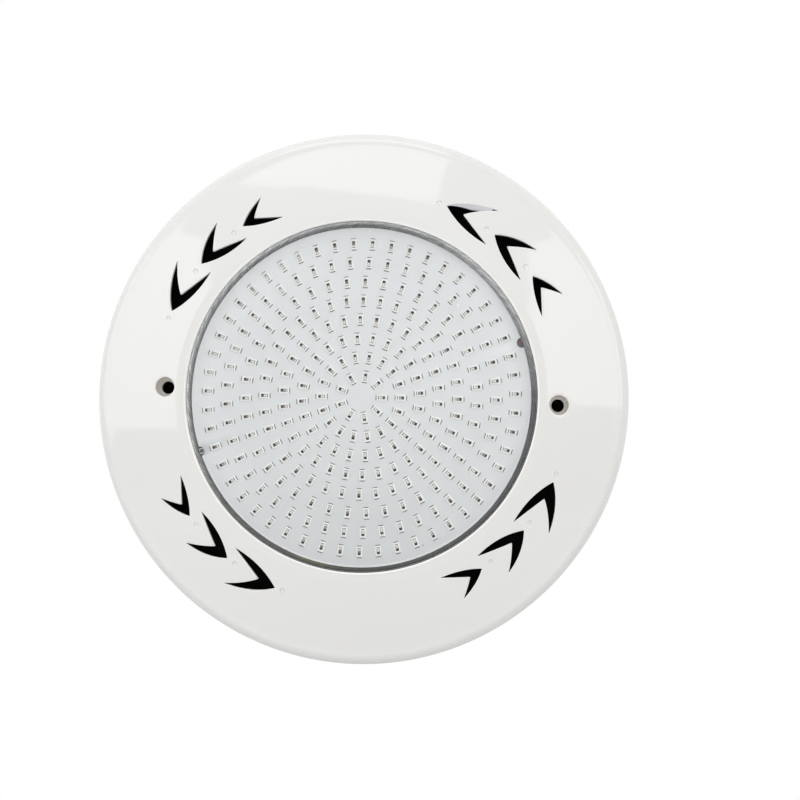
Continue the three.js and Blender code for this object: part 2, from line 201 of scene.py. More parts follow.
def tool(parts):
    V, F = join_raw(parts)
    return new_object("tool", V, F)


# ------------------------------------------------------------------ materials
def node_tree(name):
    m = bpy.data.materials.new(name)
    m.use_nodes = True
    nt = m.node_tree
    b = nt.nodes.get("Principled BSDF")
    return m, nt, b


def link(nt, a, b):
    nt.links.new(a, b)


def noise(nt, scale, detail=3, rough=0.5, stretch=None, coords="Object"):
    tc = nt.nodes.new("ShaderNodeTexCoord")
    src = tc.outputs[coords]
    if stretch:
        mp = nt.nodes.new("ShaderNodeMapping")
        mp.inputs["Scale"].default_value = stretch
        link(nt, src, mp.inputs["Vector"])
        src = mp.outputs["Vector"]
    n = nt.nodes.new("ShaderNodeTexNoise")
    n.inputs["Scale"].default_value = scale
    n.inputs["Detail"].default_value = detail
    n.inputs["Roughness"].default_value = rough
    link(nt, src, n.inputs["Vector"])
    return n


def ramp(nt, fac, stops):
    r = nt.nodes.new("ShaderNodeValToRGB")
    e = r.color_ramp.elements
    e[0].position, e[0].color = stops[0][0], (*stops[0][1], 1)
    e[1].position, e[1].color = stops[-1][0], (*stops[-1][1], 1)
    for p, c in stops[1:-1]:
        x = e.new(p)
        x.color = (*c, 1)
    link(nt, fac, r.inputs["Fac"])
    return r


def g(v):
    return (v, v, v)


def bump(nt, height, b, strength, distance=0.0002):
    bp = nt.nodes.new("ShaderNodeBump")
    bp.inputs["Strength"].default_value = strength
    bp.inputs["Distance"].default_value = distance
    link(nt, height, bp.inputs["Height"])
    link(nt, bp.outputs["Normal"], b.inputs["Normal"])
    return bp


def plastic(name, color, rough, var=0.02, rough_var=0.05, grain=900, grain_strength=0.05, coat=0.0, large=9):
    m, nt, b = node_tree(name)
    n = noise(nt, large, 4, 0.55)
    lo = tuple(max(0, c * (1 - var)) for c in color)
    hi = tuple(min(1, c * (1 + var)) for c in color)
    r = ramp(nt, n.outputs["Fac"], [(0.3, lo), (0.7, hi)])
    link(nt, r.outputs["Color"], b.inputs["Base Color"])
    n2 = noise(nt, large * 12, 5, 0.6)
    rr = ramp(nt, n2.outputs["Fac"], [(0.3, g(max(0.02, rough - rough_var))), (0.75, g(rough + rough_var))])
    link(nt, rr.outputs["Color"], b.inputs["Roughness"])
    n3 = noise(nt, grain, 2, 0.5)
    bump(nt, n3.outputs["Fac"], b, grain_strength, 0.0001)
    b.inputs["Coat Weight"].default_value = coat
    return m


def metal(name, color, rough, scratch=400):
    m, nt, b = node_tree(name)
    b.inputs["Metallic"].default_value = 1.0
    n = noise(nt, scratch, 5, 0.7, stretch=(1, 1, 0.15))
    r = ramp(nt, n.outputs["Fac"], [(0.3, tuple(c * 0.8 for c in color)), (0.7, color)])
    link(nt, r.outputs["Color"], b.inputs["Base Color"])
    rr = ramp(nt, n.outputs["Fac"], [(0.2, g(rough * 0.7)), (0.8, g(min(1, rough * 1.3)))])
    link(nt, rr.outputs["Color"], b.inputs["Roughness"])
    bump(nt, n.outputs["Fac"], b, 0.08, 0.0001)
    return m


WHITE = plastic("white_abs", (0.835, 0.830, 0.812), 0.055, 0.006, 0.02, 220, 0.012, large=6)
# brighter copy of the white ABS: painted highlight on the ring's rounded opening and vent edges
LIP = plastic("white_abs_edge_painted_highlight", (0.975, 0.972, 0.960), 0.07, 0.004, 0.02, 220, 0.010, large=6)
# black ABS with base and specular pushed below real black plastic: partly painted shade, so the bracket seen through
# the vents reads as deep shade
BLACK = plastic("black_abs", (0.002, 0.002, 0.0024), 0.5, 0.15, 0.06, 1500, 0.3)
BLACK.node_tree.nodes["Principled BSDF"].inputs["Specular IOR Level"].default_value = 0.13
GREY = plastic("housing_grey", (0.10, 0.105, 0.11), 0.38, 0.08, 0.06, 1500, 0.3)
RUBBER = plastic("seal_rubber", (0.018, 0.018, 0.018), 0.75, 0.15, 0.08, 1200, 0.4)
SILICONE = plastic("gasket_silicone", (0.42, 0.42, 0.42), 0.6, 0.05)
STEEL = metal("steel", (0.62, 0.62, 0.61), 0.28)
COPPER = metal("copper_steel", (0.235, 0.105, 0.092), 0.45)
# dark steel: painted shade in the second board screw's socket and round its head; also the copper screw's flange
DARK_STEEL = metal("steel_dark", (0.15, 0.15, 0.155), 0.5)
# bluish copy of the white ABS for the wall under one vent: painted cool shade tint
INNERWHITE_SHADE_TINT = plastic("white_abs_inner_painted_shade_tint", (0.80, 0.80, 0.86), 0.25, 0.006, 0.02, 220, 0.01, large=6)
# warm copy of the white ABS for the counterbore walls: painted warm shade inside the bores
WARMWHITE_BORE_SHADE = plastic("white_abs_bore_painted_shade", (0.80, 0.765, 0.725), 0.12, 0.006, 0.02, 220, 0.01, large=6)
# brass darkened nearly to black: painted shade deep in the bores
BRASS = metal("brass", (0.035, 0.024, 0.012), 0.6)
CHIPBLACK = plastic("chip_black", (0.02, 0.02, 0.022), 0.45)
PCB = plastic("pcb_green", (0.03, 0.14, 0.06), 0.35, 0.1, coat=0.3)
CAN = plastic("can_blue", (0.03, 0.06, 0.13), 0.3, 0.1)
FERRITE = plastic("ferrite", (0.06, 0.045, 0.035), 0.5, 0.2)
RED = plastic("wire_red", (0.42, 0.03, 0.02), 0.4, 0.05)
WIREBLACK = plastic("wire_black", (0.02, 0.02, 0.02), 0.4, 0.05)
DARKRESIN = plastic("dark_resin", (0.03, 0.032, 0.035), 0.25, 0.1, coat=0.4)


def board_material():
    """White solder mask: faint blotches, a paler band near the rim that is painted light, and a few specks."""
    m, nt, b = node_tree("board_white")
    n = noise(nt, 14, 5, 0.6)
    base = ramp(nt, n.outputs["Fac"], [(0.3, (0.815, 0.834, 0.850)), (0.7, (0.846, 0.864, 0.881))])
    # specks
    tc = nt.nodes.new("ShaderNodeTexCoord")
    v = nt.nodes.new("ShaderNodeTexVoronoi")
    v.inputs["Scale"].default_value = 80
    v.inputs["Randomness"].default_value = 1.0
    link(nt, tc.outputs["Object"], v.inputs["Vector"])
    pick = nt.nodes.new("ShaderNodeMath")
    pick.operation = "LESS_THAN"
    pick.inputs[1].default_value = 0.045
    link(nt, v.outputs["Distance"], pick.inputs[0])
    sep = nt.nodes.new("ShaderNodeSeparateColor")
    link(nt, v.outputs["Color"], sep.inputs["Color"])
    some = nt.nodes.new("ShaderNodeMath")
    some.operation = "GREATER_THAN"
    some.inputs[1].default_value = 0.72
    link(nt, sep.outputs["Red"], some.inputs[0])
    both = nt.nodes.new("ShaderNodeMath")
    both.operation = "MULTIPLY"
    link(nt, pick.outputs[0], both.inputs[0])
    link(nt, some.outputs[0], both.inputs[1])
    soft = nt.nodes.new("ShaderNodeMath")
    soft.operation = "MULTIPLY"
    soft.inputs[1].default_value = 0.55
    link(nt, both.outputs[0], soft.inputs[0])
    mx = nt.nodes.new("ShaderNodeMix")
    mx.data_type = "RGBA"
    link(nt, soft.outputs[0], mx.inputs["Factor"])
    link(nt, base.outputs["Color"], mx.inputs["A"])
    mx.inputs["B"].default_value = (0.30, 0.30, 0.31, 1)
    # painted shade: a little darker towards the bottom, where the ring's lower lip keeps light off the board
    sz = nt.nodes.new("ShaderNodeSeparateXYZ")
    link(nt, tc.outputs["Object"], sz.inputs["Vector"])
    mr = nt.nodes.new("ShaderNodeMapRange")
    mr.inputs["From Min"].default_value = -0.092
    mr.inputs["From Max"].default_value = 0.092
    link(nt, sz.outputs["Z"], mr.inputs["Value"])
    tone = ramp(nt, mr.outputs["Result"], [(0.0, g(0.80)), (0.25, g(0.91)), (0.55, g(0.965)), (0.85, g(0.995)), (1.0, g(0.95))])
    painted_shade_mul = nt.nodes.new("ShaderNodeMix")
    painted_shade_mul.data_type = "RGBA"
    painted_shade_mul.blend_type = "MULTIPLY"
    painted_shade_mul.inputs["Factor"].default_value = 1.0
    link(nt, mx.outputs["Result"], painted_shade_mul.inputs["A"])
    link(nt, tone.outputs["Color"], painted_shade_mul.inputs["B"])
    # a little paler close to the rim on the upper left: painted light that lifts the shadow the ring's lip casts on the
    # board's edge
    flat = nt.nodes.new("ShaderNodeCombineXYZ")
    link(nt, sz.outputs["X"], flat.inputs["X"])
    link(nt, sz.outputs["Z"], flat.inputs["Z"])
    far = nt.nodes.new("ShaderNodeVectorMath")
    far.operation = "LENGTH"
    link(nt, flat.outputs["Vector"], far.inputs[0])
    near = nt.nodes.new("ShaderNodeMapRange")
    near.interpolation_type = "SMOOTHSTEP"
    near.inputs["From Min"].default_value = 0.064
    near.inputs["From Max"].default_value = 0.092
    link(nt, far.outputs["Value"], near.inputs["Value"])
    along = nt.nodes.new("ShaderNodeVectorMath")
    along.operation = "DOT_PRODUCT"
    along.inputs[1].default_value = (math.cos(rad(50)) / 0.092, 0.0, math.sin(rad(50)) / 0.092)
    link(nt, flat.outputs["Vector"], along.inputs[0])
    side = nt.nodes.new("ShaderNodeMapRange")
    side.inputs["From Min"].default_value = -1.0
    side.inputs["From Max"].default_value = 1.0
    side.inputs["To Min"].default_value = 0.02
    side.inputs["To Max"].default_value = 0.14
    link(nt, along.outputs["Value"], side.inputs["Value"])
    gain = nt.nodes.new("ShaderNodeMath")
    gain.operation = "MULTIPLY_ADD"
    gain.inputs[2].default_value = 1.0
    link(nt, near.outputs["Result"], gain.inputs[0])
    link(nt, side.outputs["Result"], gain.inputs[1])
    v2 = nt.nodes.new("ShaderNodeTexVoronoi")
    v2.inputs["Scale"].default_value = 150
    link(nt, tc.outputs["Object"], v2.inputs["Vector"])
    small = nt.nodes.new("ShaderNodeMath")
    small.operation = "LESS_THAN"
    small.inputs[1].default_value = 0.085
    link(nt, v2.outputs["Distance"], small.inputs[0])
    sep2 = nt.nodes.new("ShaderNodeSeparateColor")
    link(nt, v2.outputs["Color"], sep2.inputs["Color"])
    few = nt.nodes.new("ShaderNodeMath")
    few.operation = "GREATER_THAN"
    few.inputs[1].default_value = 0.62
    link(nt, sep2.outputs["Green"], few.inputs[0])
    where = nt.nodes.new("ShaderNodeMapRange")
    where.inputs["From Min"].default_value = 0.42
    where.inputs["From Max"].default_value = 0.62
    link(nt, along.outputs["Value"], where.inputs["Value"])
    dots = nt.nodes.new("ShaderNodeMath")
    dots.operation = "MULTIPLY"
    link(nt, small.outputs[0], dots.inputs[0])
    link(nt, few.outputs[0], dots.inputs[1])
    dots2 = nt.nodes.new("ShaderNodeMath")
    dots2.operation = "MULTIPLY"
    link(nt, dots.outputs[0], dots2.inputs[0])
    link(nt, where.outputs["Result"], dots2.inputs[1])
    dots3 = nt.nodes.new("ShaderNodeMath")
    dots3.operation = "MULTIPLY_ADD"
    dots3.inputs[1].default_value = 0.22
    link(nt, dots2.outputs[0], dots3.inputs[0])
    link(nt, gain.outputs[0], dots3.inputs[2])
    gain = dots3
    sc = nt.nodes.new("ShaderNodeVectorMath")
    sc.operation = "SCALE"
    link(nt, painted_shade_mul.outputs["Result"], sc.inputs[0])
    link(nt, gain.outputs[0], sc.inputs["Scale"])
    link(nt, sc.outputs["Vector"], b.inputs["Base Color"])
    b.inputs["Roughness"].default_value = 0.42
    n3 = noise(nt, 600, 3, 0.5)
    bump(nt, n3.outputs["Fac"], b, 0.06, 0.0001)
    return m


BOARD = board_material()
# near-white strip on the board's rim: painted highlight
BOARDEDGE_HIGHLIGHT = plastic("board_edge_painted_highlight", (0.96, 0.965, 0.97), 0.4, 0.005)
LEDBODY = plastic("led_package", (0.995, 0.990, 0.962), 0.38, 0.012, 0.04, 2500, 0.05)
# grey floor of each package's well, showing round the filling: painted shade in the well
LEDWELL_SHADE = plastic("led_well_painted_shade", (0.234, 0.234, 0.230), 0.25, 0.2, large=300)
LEDCHIP = plastic("led_chip", (0.008, 0.011, 0.018), 0.2, 0.4, large=600)
LEDCHIP.node_tree.nodes["Principled BSDF"].inputs["Specular IOR Level"].default_value = 0.2
LEDWHITE = plastic("led_phosphor_pale", (0.78, 0.78, 0.75), 0.3, 0.08, large=400)
LEDBROWN = plastic("led_phosphor_brown", (0.26, 0.17, 0.155), 0.25, 0.35, large=700)
# grey for some fillings, and for chips under painted glare on the upper left
LEDGREY_AND_GLARE = plastic("led_phosphor_grey_and_painted_glare", (0.40, 0.40, 0.39), 0.25, 0.3, large=700)
LEDLINE = plastic("led_mark", (0.061, 0.054, 0.047), 0.35, 0.1, large=300)
SOLDER = plastic("solder", (0.128, 0.123, 0.115), 0.35, 0.1, large=300)


def clear_material(name, tint, rough, ior):
    """Clear plastic that lets the lamps' light through."""
    m, nt, b = node_tree(name)
    b.inputs["Base Color"].default_value = (*tint, 1)
    b.inputs["Transmission Weight"].default_value = 1.0
    b.inputs["Roughness"].default_value = rough
    b.inputs["IOR"].default_value = ior
    b.inputs["Specular IOR Level"].default_value = 0.14
    out = nt.nodes.get("Material Output")
    tr = nt.nodes.new("ShaderNodeBsdfTransparent")
    tr.inputs["Color"].default_value = (*tint, 1)
    lp = nt.nodes.new("ShaderNodeLightPath")
    mx = nt.nodes.new("ShaderNodeMixShader")
    link(nt, lp.outputs["Is Shadow Ray"], mx.inputs["Fac"])
    link(nt, b.outputs["BSDF"], mx.inputs[1])
    link(nt, tr.outputs["BSDF"], mx.inputs[2])
    link(nt, mx.outputs["Shader"], out.inputs["Surface"])
    n = noise(nt, 8, 2, 0.5)
    bump(nt, n.outputs["Fac"], b, 0.02, 0.0003)
    return m


CLEAR = clear_material("clear_pc", (0.998, 1.0, 1.0), 0.0, 1.49)


# potting band tones by angle round the rim, in degrees: its grey with painted light and shade; the edge tones are a
# painted highlight of the ring's white wall seen through the lens
INNER_TONES_PAINTED_LIGHT = [(-180, (0.155, 0.165, 0.171)), (-135, (0.046, 0.055, 0.057)), (-114, (0.046, 0.050, 0.040)), (-108, (0.085, 0.083, 0.030)), (-101, (0.080, 0.082, 0.030)), (-95, (0.030, 0.031, 0.022)), (-90, (0.024, 0.025, 0.022)), (-45, (0.034, 0.037, 0.038)), (0, (0.066, 0.072, 0.076)), (45, (0.440, 0.452, 0.458)), (90, (0.118, 0.125, 0.130)), (135, (0.205, 0.215, 0.220)), (180, (0.155, 0.165, 0.171))]
OUTER_TONES_PAINTED_LIGHT = [(-180, (0.400, 0.405, 0.405)), (-135, (0.074, 0.074, 0.060)), (-90, (0.006, 0.006, 0.005)), (-45, (0.018, 0.019, 0.019)), (0, (0.072, 0.074, 0.075)), (45, (0.940, 0.945, 0.940)), (90, (0.480, 0.485, 0.490)), (135, (0.520, 0.525, 0.525)), (180, (0.400, 0.405, 0.405))]
EDGE_TONES_PAINTED_LIGHT = [(-180, (0.830, 0.828, 0.820)), (-135, (0.080, 0.078, 0.060)), (-90, (0.006, 0.006, 0.005)), (-45, (0.008, 0.008, 0.008)), (0, (0.018, 0.018, 0.019)), (45, (0.900, 0.900, 0.900)), (90, (0.980, 0.980, 0.975)), (135, (0.820, 0.820, 0.820)), (180, (0.830, 0.828, 0.820))]


def rim_material():
    """The band of potting between board and housing: grey, streaked along the rim, with painted light and shade that
    make it paler on one side and near the housing.
    """
    m, nt, b = node_tree("clear_resin")

    def math_node(op, a, v=None, a2=None, clamp=False):
        n = nt.nodes.new("ShaderNodeMath")
        n.operation = op
        n.use_clamp = clamp
        link(nt, a, n.inputs[0])
        if a2 is not None:
            link(nt, a2, n.inputs[1])
        elif v is not None:
            n.inputs[1].default_value = v
        return n.outputs[0]

    def mix(fac, a, c):
        n = nt.nodes.new("ShaderNodeMix")
        n.data_type = "RGBA"
        link(nt, fac, n.inputs["Factor"])
        for key, v in (("A", a), ("B", c)):
            if isinstance(v, tuple):
                n.inputs[key].default_value = (*v, 1)
            else:
                link(nt, v, n.inputs[key])
        return n.outputs["Result"]

    tc = nt.nodes.new("ShaderNodeTexCoord")
    sep = nt.nodes.new("ShaderNodeSeparateXYZ")
    link(nt, tc.outputs["Object"], sep.inputs["Vector"])
    ang = math_node("ARCTAN2", sep.outputs["Z"], a2=sep.outputs["X"])
    cx = nt.nodes.new("ShaderNodeCombineXYZ")
    link(nt, sep.outputs["X"], cx.inputs["X"])
    link(nt, sep.outputs["Z"], cx.inputs["Z"])
    ln = nt.nodes.new("ShaderNodeVectorMath")
    ln.operation = "LENGTH"
    link(nt, cx.outputs["Vector"], ln.inputs[0])
    # painted light and shade: palest at the upper right, darkest at the bottom
    full = nt.nodes.new("ShaderNodeMapRange")
    full.inputs["From Min"].default_value = -math.pi
    full.inputs["From Max"].default_value = math.pi
    link(nt, ang, full.inputs["Value"])
    # streaks along the rim, slightly slanted: partly the potting's uneven tone, partly painted highlight streaks
    cv = nt.nodes.new("ShaderNodeCombineXYZ")
    slant = math_node("MULTIPLY_ADD", ang, 26.0)
    link(nt, math_node("MULTIPLY", ln.outputs["Value"], 1500.0), slant.node.inputs[2])
    link(nt, slant, cv.inputs["X"])
    link(nt, math_node("MULTIPLY", ang, 13.0), cv.inputs["Y"])
    n = nt.nodes.new("ShaderNodeTexNoise")
    n.inputs["Scale"].default_value = 1.0
    n.inputs["Detail"].default_value = 6
    n.inputs["Roughness"].default_value = 0.65
    link(nt, cv.outputs["Vector"], n.inputs["Vector"])
    streak = ramp(nt, n.outputs["Fac"], [(0.33, g(0.40)), (0.5, g(1.0)), (0.60, g(1.35)), (0.68, g(2.3))])
    # inner (by the board) and outer (by the housing) tones, and the line right under the ring: painted light and shade
    # by angle, the line a painted highlight that turns to painted shade at the bottom
    def around(stops):
        return ramp(nt, full.outputs["Result"], [((d + 180) / 360, c) for d, c in stops]).outputs["Color"]

    inner = around(INNER_TONES_PAINTED_LIGHT)
    outer = around(OUTER_TONES_PAINTED_LIGHT)
    edge = around(EDGE_TONES_PAINTED_LIGHT)

    def band(lo, hi):
        rr = nt.nodes.new("ShaderNodeMapRange")
        rr.inputs["From Min"].default_value = lo
        rr.inputs["From Max"].default_value = hi
        link(nt, ln.outputs["Value"], rr.inputs["Value"])
        return rr.outputs["Result"]

    tone = mix(band(0.09280, 0.09345), inner, outer)
    tone = mix(band(0.09355, 0.09395), tone, edge)
    mul = nt.nodes.new("ShaderNodeMix")
    mul.data_type = "RGBA"
    mul.blend_type = "MULTIPLY"
    mul.inputs["Factor"].default_value = 1.0
    link(nt, tone, mul.inputs["A"])
    link(nt, streak.outputs["Color"], mul.inputs["B"])
    # small pale flecks, strongest on the upper right and none at the bottom: painted glints
    cw = nt.nodes.new("ShaderNodeCombineXYZ")
    link(nt, math_node("MULTIPLY", ln.outputs["Value"], 1700.0), cw.inputs["X"])
    link(nt, math_node("MULTIPLY", ang, 62.0), cw.inputs["Y"])
    n9 = nt.nodes.new("ShaderNodeTexNoise")
    n9.inputs["Scale"].default_value = 1.0
    n9.inputs["Detail"].default_value = 2
    link(nt, cw.outputs["Vector"], n9.inputs["Vector"])
    glint_flecks = ramp(nt, n9.outputs["Fac"], [(0.63, g(0.0)), (0.70, g(1.0))])
    pale = around([(-180, g(0.30)), (-135, g(0.10)), (-90, g(0.0)), (-45, g(0.02)), (0, g(0.12)), (45, g(0.60)), (90, g(0.50)), (135, g(0.60)), (180, g(0.30))])
    both = nt.nodes.new("ShaderNodeMath")
    both.operation = "MULTIPLY"
    link(nt, glint_flecks.outputs["Color"], both.inputs[0])
    link(nt, pale, both.inputs[1])
    final = mix(both.outputs[0], mul.outputs["Result"], (0.86, 0.87, 0.88))
    link(nt, final, b.inputs["Base Color"])
    b.inputs["Roughness"].default_value = 0.45
    b.inputs["Specular IOR Level"].default_value = 0.12
    bump(nt, n.outputs["Fac"], b, 0.35, 0.0003)
    return m


RIM = rim_material()

# ------------------------------------------------------------------ dimensions, as on the CAD model
OPEN_R, OPEN_H = 94.4, 35.5
BAND_R, BAND_H = 99.6, 35.0
MID_R, MID_H = 120.0, 31.2
CORNER_R, CORNER_H = 138.5, 27.2
OUT_R, OUT_H = 145.0, 18.8
FOOT_R, FOOT_H = 144.3, 1.0
WALL, LIP_H = 2.8, 32.6
COLLAR_IN, COLLAR_OUT, COLLAR_H = 97.6, 99.9, 29.0
FIX_R = 106.0
EARS = [13 + 90 * k for k in range(4)]
EAR_R = 104.0
VENTS = [
    (112.3, 33.2, [8.9, -0.1, 1.3, 0.6, -7.0, 8.6, -12.0, -6.9, 2.3, 6.1, -2.8, 5.0, -4.7, -2.7, -0.1, -5.6]),
    (112.3, 47.4, [11.4, -0.1, 2.2, 0.1, -9.6, 10.1, -15.2, -7.6, 3.1, 8.4, -3.8, 6.3, -6.0, -3.1, -0.6, -8.3]),
    (112.6, 62.4, [12.1, -0.6, 2.0, -0.3, -11.8, 10.9, -15.6, -8.1, 2.9, 8.5, -3.8, 6.3, -6.0, -3.8, -0.5, -8.6]),
]
VENT_TAILS = [0.9, 1.1, 1.7]  # the thin tips run on this far
DIMPLES = [d + 90 * k for k in range(4) for d in (40.75, 55.75, 70.75)]


def face_h(r):
    """Height of the ring's face at radius r, between the band and the corner."""
    if r < BAND_R:
        return OPEN_H + (BAND_H - OPEN_H) * (r - OPEN_R) / (BAND_R - OPEN_R)
    if r < MID_R:
        t = (r - BAND_R) / (MID_R - BAND_R)
        return BAND_H + (MID_H - BAND_H) * t + 0.06 * math.sin(math.pi * t)
    t = (r - MID_R) / (CORNER_R - MID_R)
    return MID_H + (CORNER_H - MID_H) * t + 0.05 * math.sin(math.pi * t)


# ------------------------------------------------------------------ face ring
def bez(p0, c, p1, n):
    return [((1 - u) ** 2 * p0[0] + 2 * u * (1 - u) * c[0] + u * u * p1[0], (1 - u) ** 2 * p0[1] + 2 * u * (1 - u) * c[1] + u * u * p1[1]) for u in [i / n for i in range(n)]]


def soften(loop, rr, n=4, tip=1.0):
    """Rounds every sharp corner of a closed 2D loop by about rr, and its narrow tips by rr * tip."""
    out = []
    m = len(loop)
    for i, p in enumerate(loop):
        a, b = Vector(loop[i - 1]) - Vector(p), Vector(loop[(i + 1) % m]) - Vector(p)
        la, lb = a.length, b.length
        a.normalize()
        b.normalize()
        ang = a.angle(b)
        if ang > rad(150):
            out.append(p)
            continue
        t = min(rr * (tip if ang < rad(45) else 1.0) / math.tan(ang / 2), la * 0.6, lb * 0.6)
        s, e = Vector(p) + a * t, Vector(p) + b * t
        for k in range(n + 1):
            u = k / n
            q = s * (1 - u) ** 2 + Vector(p) * 2 * u * (1 - u) + e * u * u
            out.append((q.x, q.y))
    return out


def run_out(p, c0, c1, d):
    """The tip p of a vent, moved on by d along the middle of its two edges."""
    a = (Vector(p) - Vector(c0)).normalized() + (Vector(p) - Vector(c1)).normalized()
    a.normalize()
    return (p[0] + a.x * d, p[1] + a.y * d)


def vent_loop(v, turn, fine=1.0):
    r0, deg, q = v
    T, N, O, I = q[0:2], q[2:4], q[4:6], q[6:8]
    tail = VENT_TAILS[VENTS.index(v)]
    O, I = run_out(O, q[8:10], q[10:12], tail), run_out(I, q[12:14], q[14:16], tail)
    loop = bez(T, q[8:10], O, 16) + bez(O, q[10:12], N, 10) + bez(N, q[12:14], I, 10) + bez(I, q[14:16], T, 16)
    loop = soften(loop, 0.35, tip=0.4)
    cs, sn = math.cos(rad(deg + turn)), math.sin(rad(deg + turn))
    return [((r0 + s) * cs - t * sn, (r0 + s) * sn + t * cs) for t, s in loop]


def offset_loop(loop, d):
    n = len(loop)
    area = sum(loop[i - 1][0] * loop[i][1] - loop[i][0] * loop[i - 1][1] for i in range(n))
    sg = 1 if area > 0 else -1
    out = []
    for i in range(n):
        p = Vector(loop[i])
        a = (p - Vector(loop[i - 1])).normalized()
        b = (Vector(loop[(i + 1) % n]) - p).normalized()
        na, nb = Vector((a.y, -a.x)) * sg, Vector((b.y, -b.x)) * sg
        m = na + nb
        if m.length < 1e-6:
            m = na
        m.normalize()
        k = 1 / max(0.55, m.dot(na))
        q = p + m * d * k
        out.append((q.x, q.y))
    return out


def cut_through(loop, edge, bottom, h_of=None):
    """Cutter for a hole in the face: straight walls, rounded where it meets the sloping face."""
    h_of = h_of or face_h
    loops = [[(x, bottom, z) for x, z in loop]]
    levels = [(0.0, 3.4), (0.0, 1.4), (0.0, edge)]
    for k in range(1, 5):
        t = math.pi / 2 * k / 4
        levels.append((edge * (1 - math.cos(t)), edge * (1 - math.sin(t))))
    levels += [(edge * 1.15, -0.05), (edge * 1.3, -6.0)]
    for off, depth in levels:
        lp = offset_loop(loop, off) if off else loop
        loops.append([(x, h_of(math.hypot(x, z)) - depth, z) for x, z in lp])
    return loft_raw(loops)


def circle(x, z, r, n):
    return [(x + r * math.cos(2 * math.pi * k / n), z + r * math.sin(2 * math.pi * k / n)) for k in range(n)]


def gusset():
    """Wall on the underside that follows the outward edge of the uppermost large vent."""
    r0, deg, q = VENTS[2]
    cs, sn = math.cos(rad(deg)), math.sin(rad(deg))
    T, O, C = q[0:2], q[4:6], q[8:10]
    loops = []
    for i in range(15):
        u = 0.06 + 0.88 * i / 14
        p = [(1 - u) ** 2 * T[k] + 2 * u * (1 - u) * C[k] + u * u * O[k] for k in (0, 1)]
        d = [2 * (1 - u) * (C[k] - T[k]) + 2 * u * (O[k] - C[k]) for k in (0, 1)]
        ln = math.hypot(*d)
        n = [d[1] / ln, -d[0] / ln]
        if n[1] < 0:
            n = [-n[0], -n[1]]

        def at(off):
            t, s = p[0] + n[0] * off, r0 + p[1] + n[1] * off
            return (s * cs - t * sn, s * sn + t * cs)

        run = 0.03 + 0.97 * min(1.0, (u - 0.06) / 0.46)
        o = 2.6 * run
        sect = [(-o, 0.60 + 1.05 * o), (-o, 1.8 + 1.05 * o), (1.6, 5.2), (1.6, 1.6), (0.25, 0.60)]
        loop = []
        for off, depth in sect:
            x, z = at(off)
            loop.append((x, face_h(math.hypot(x, z)) - depth, z))
        loops.append(loop)
    return loft_raw(loops)


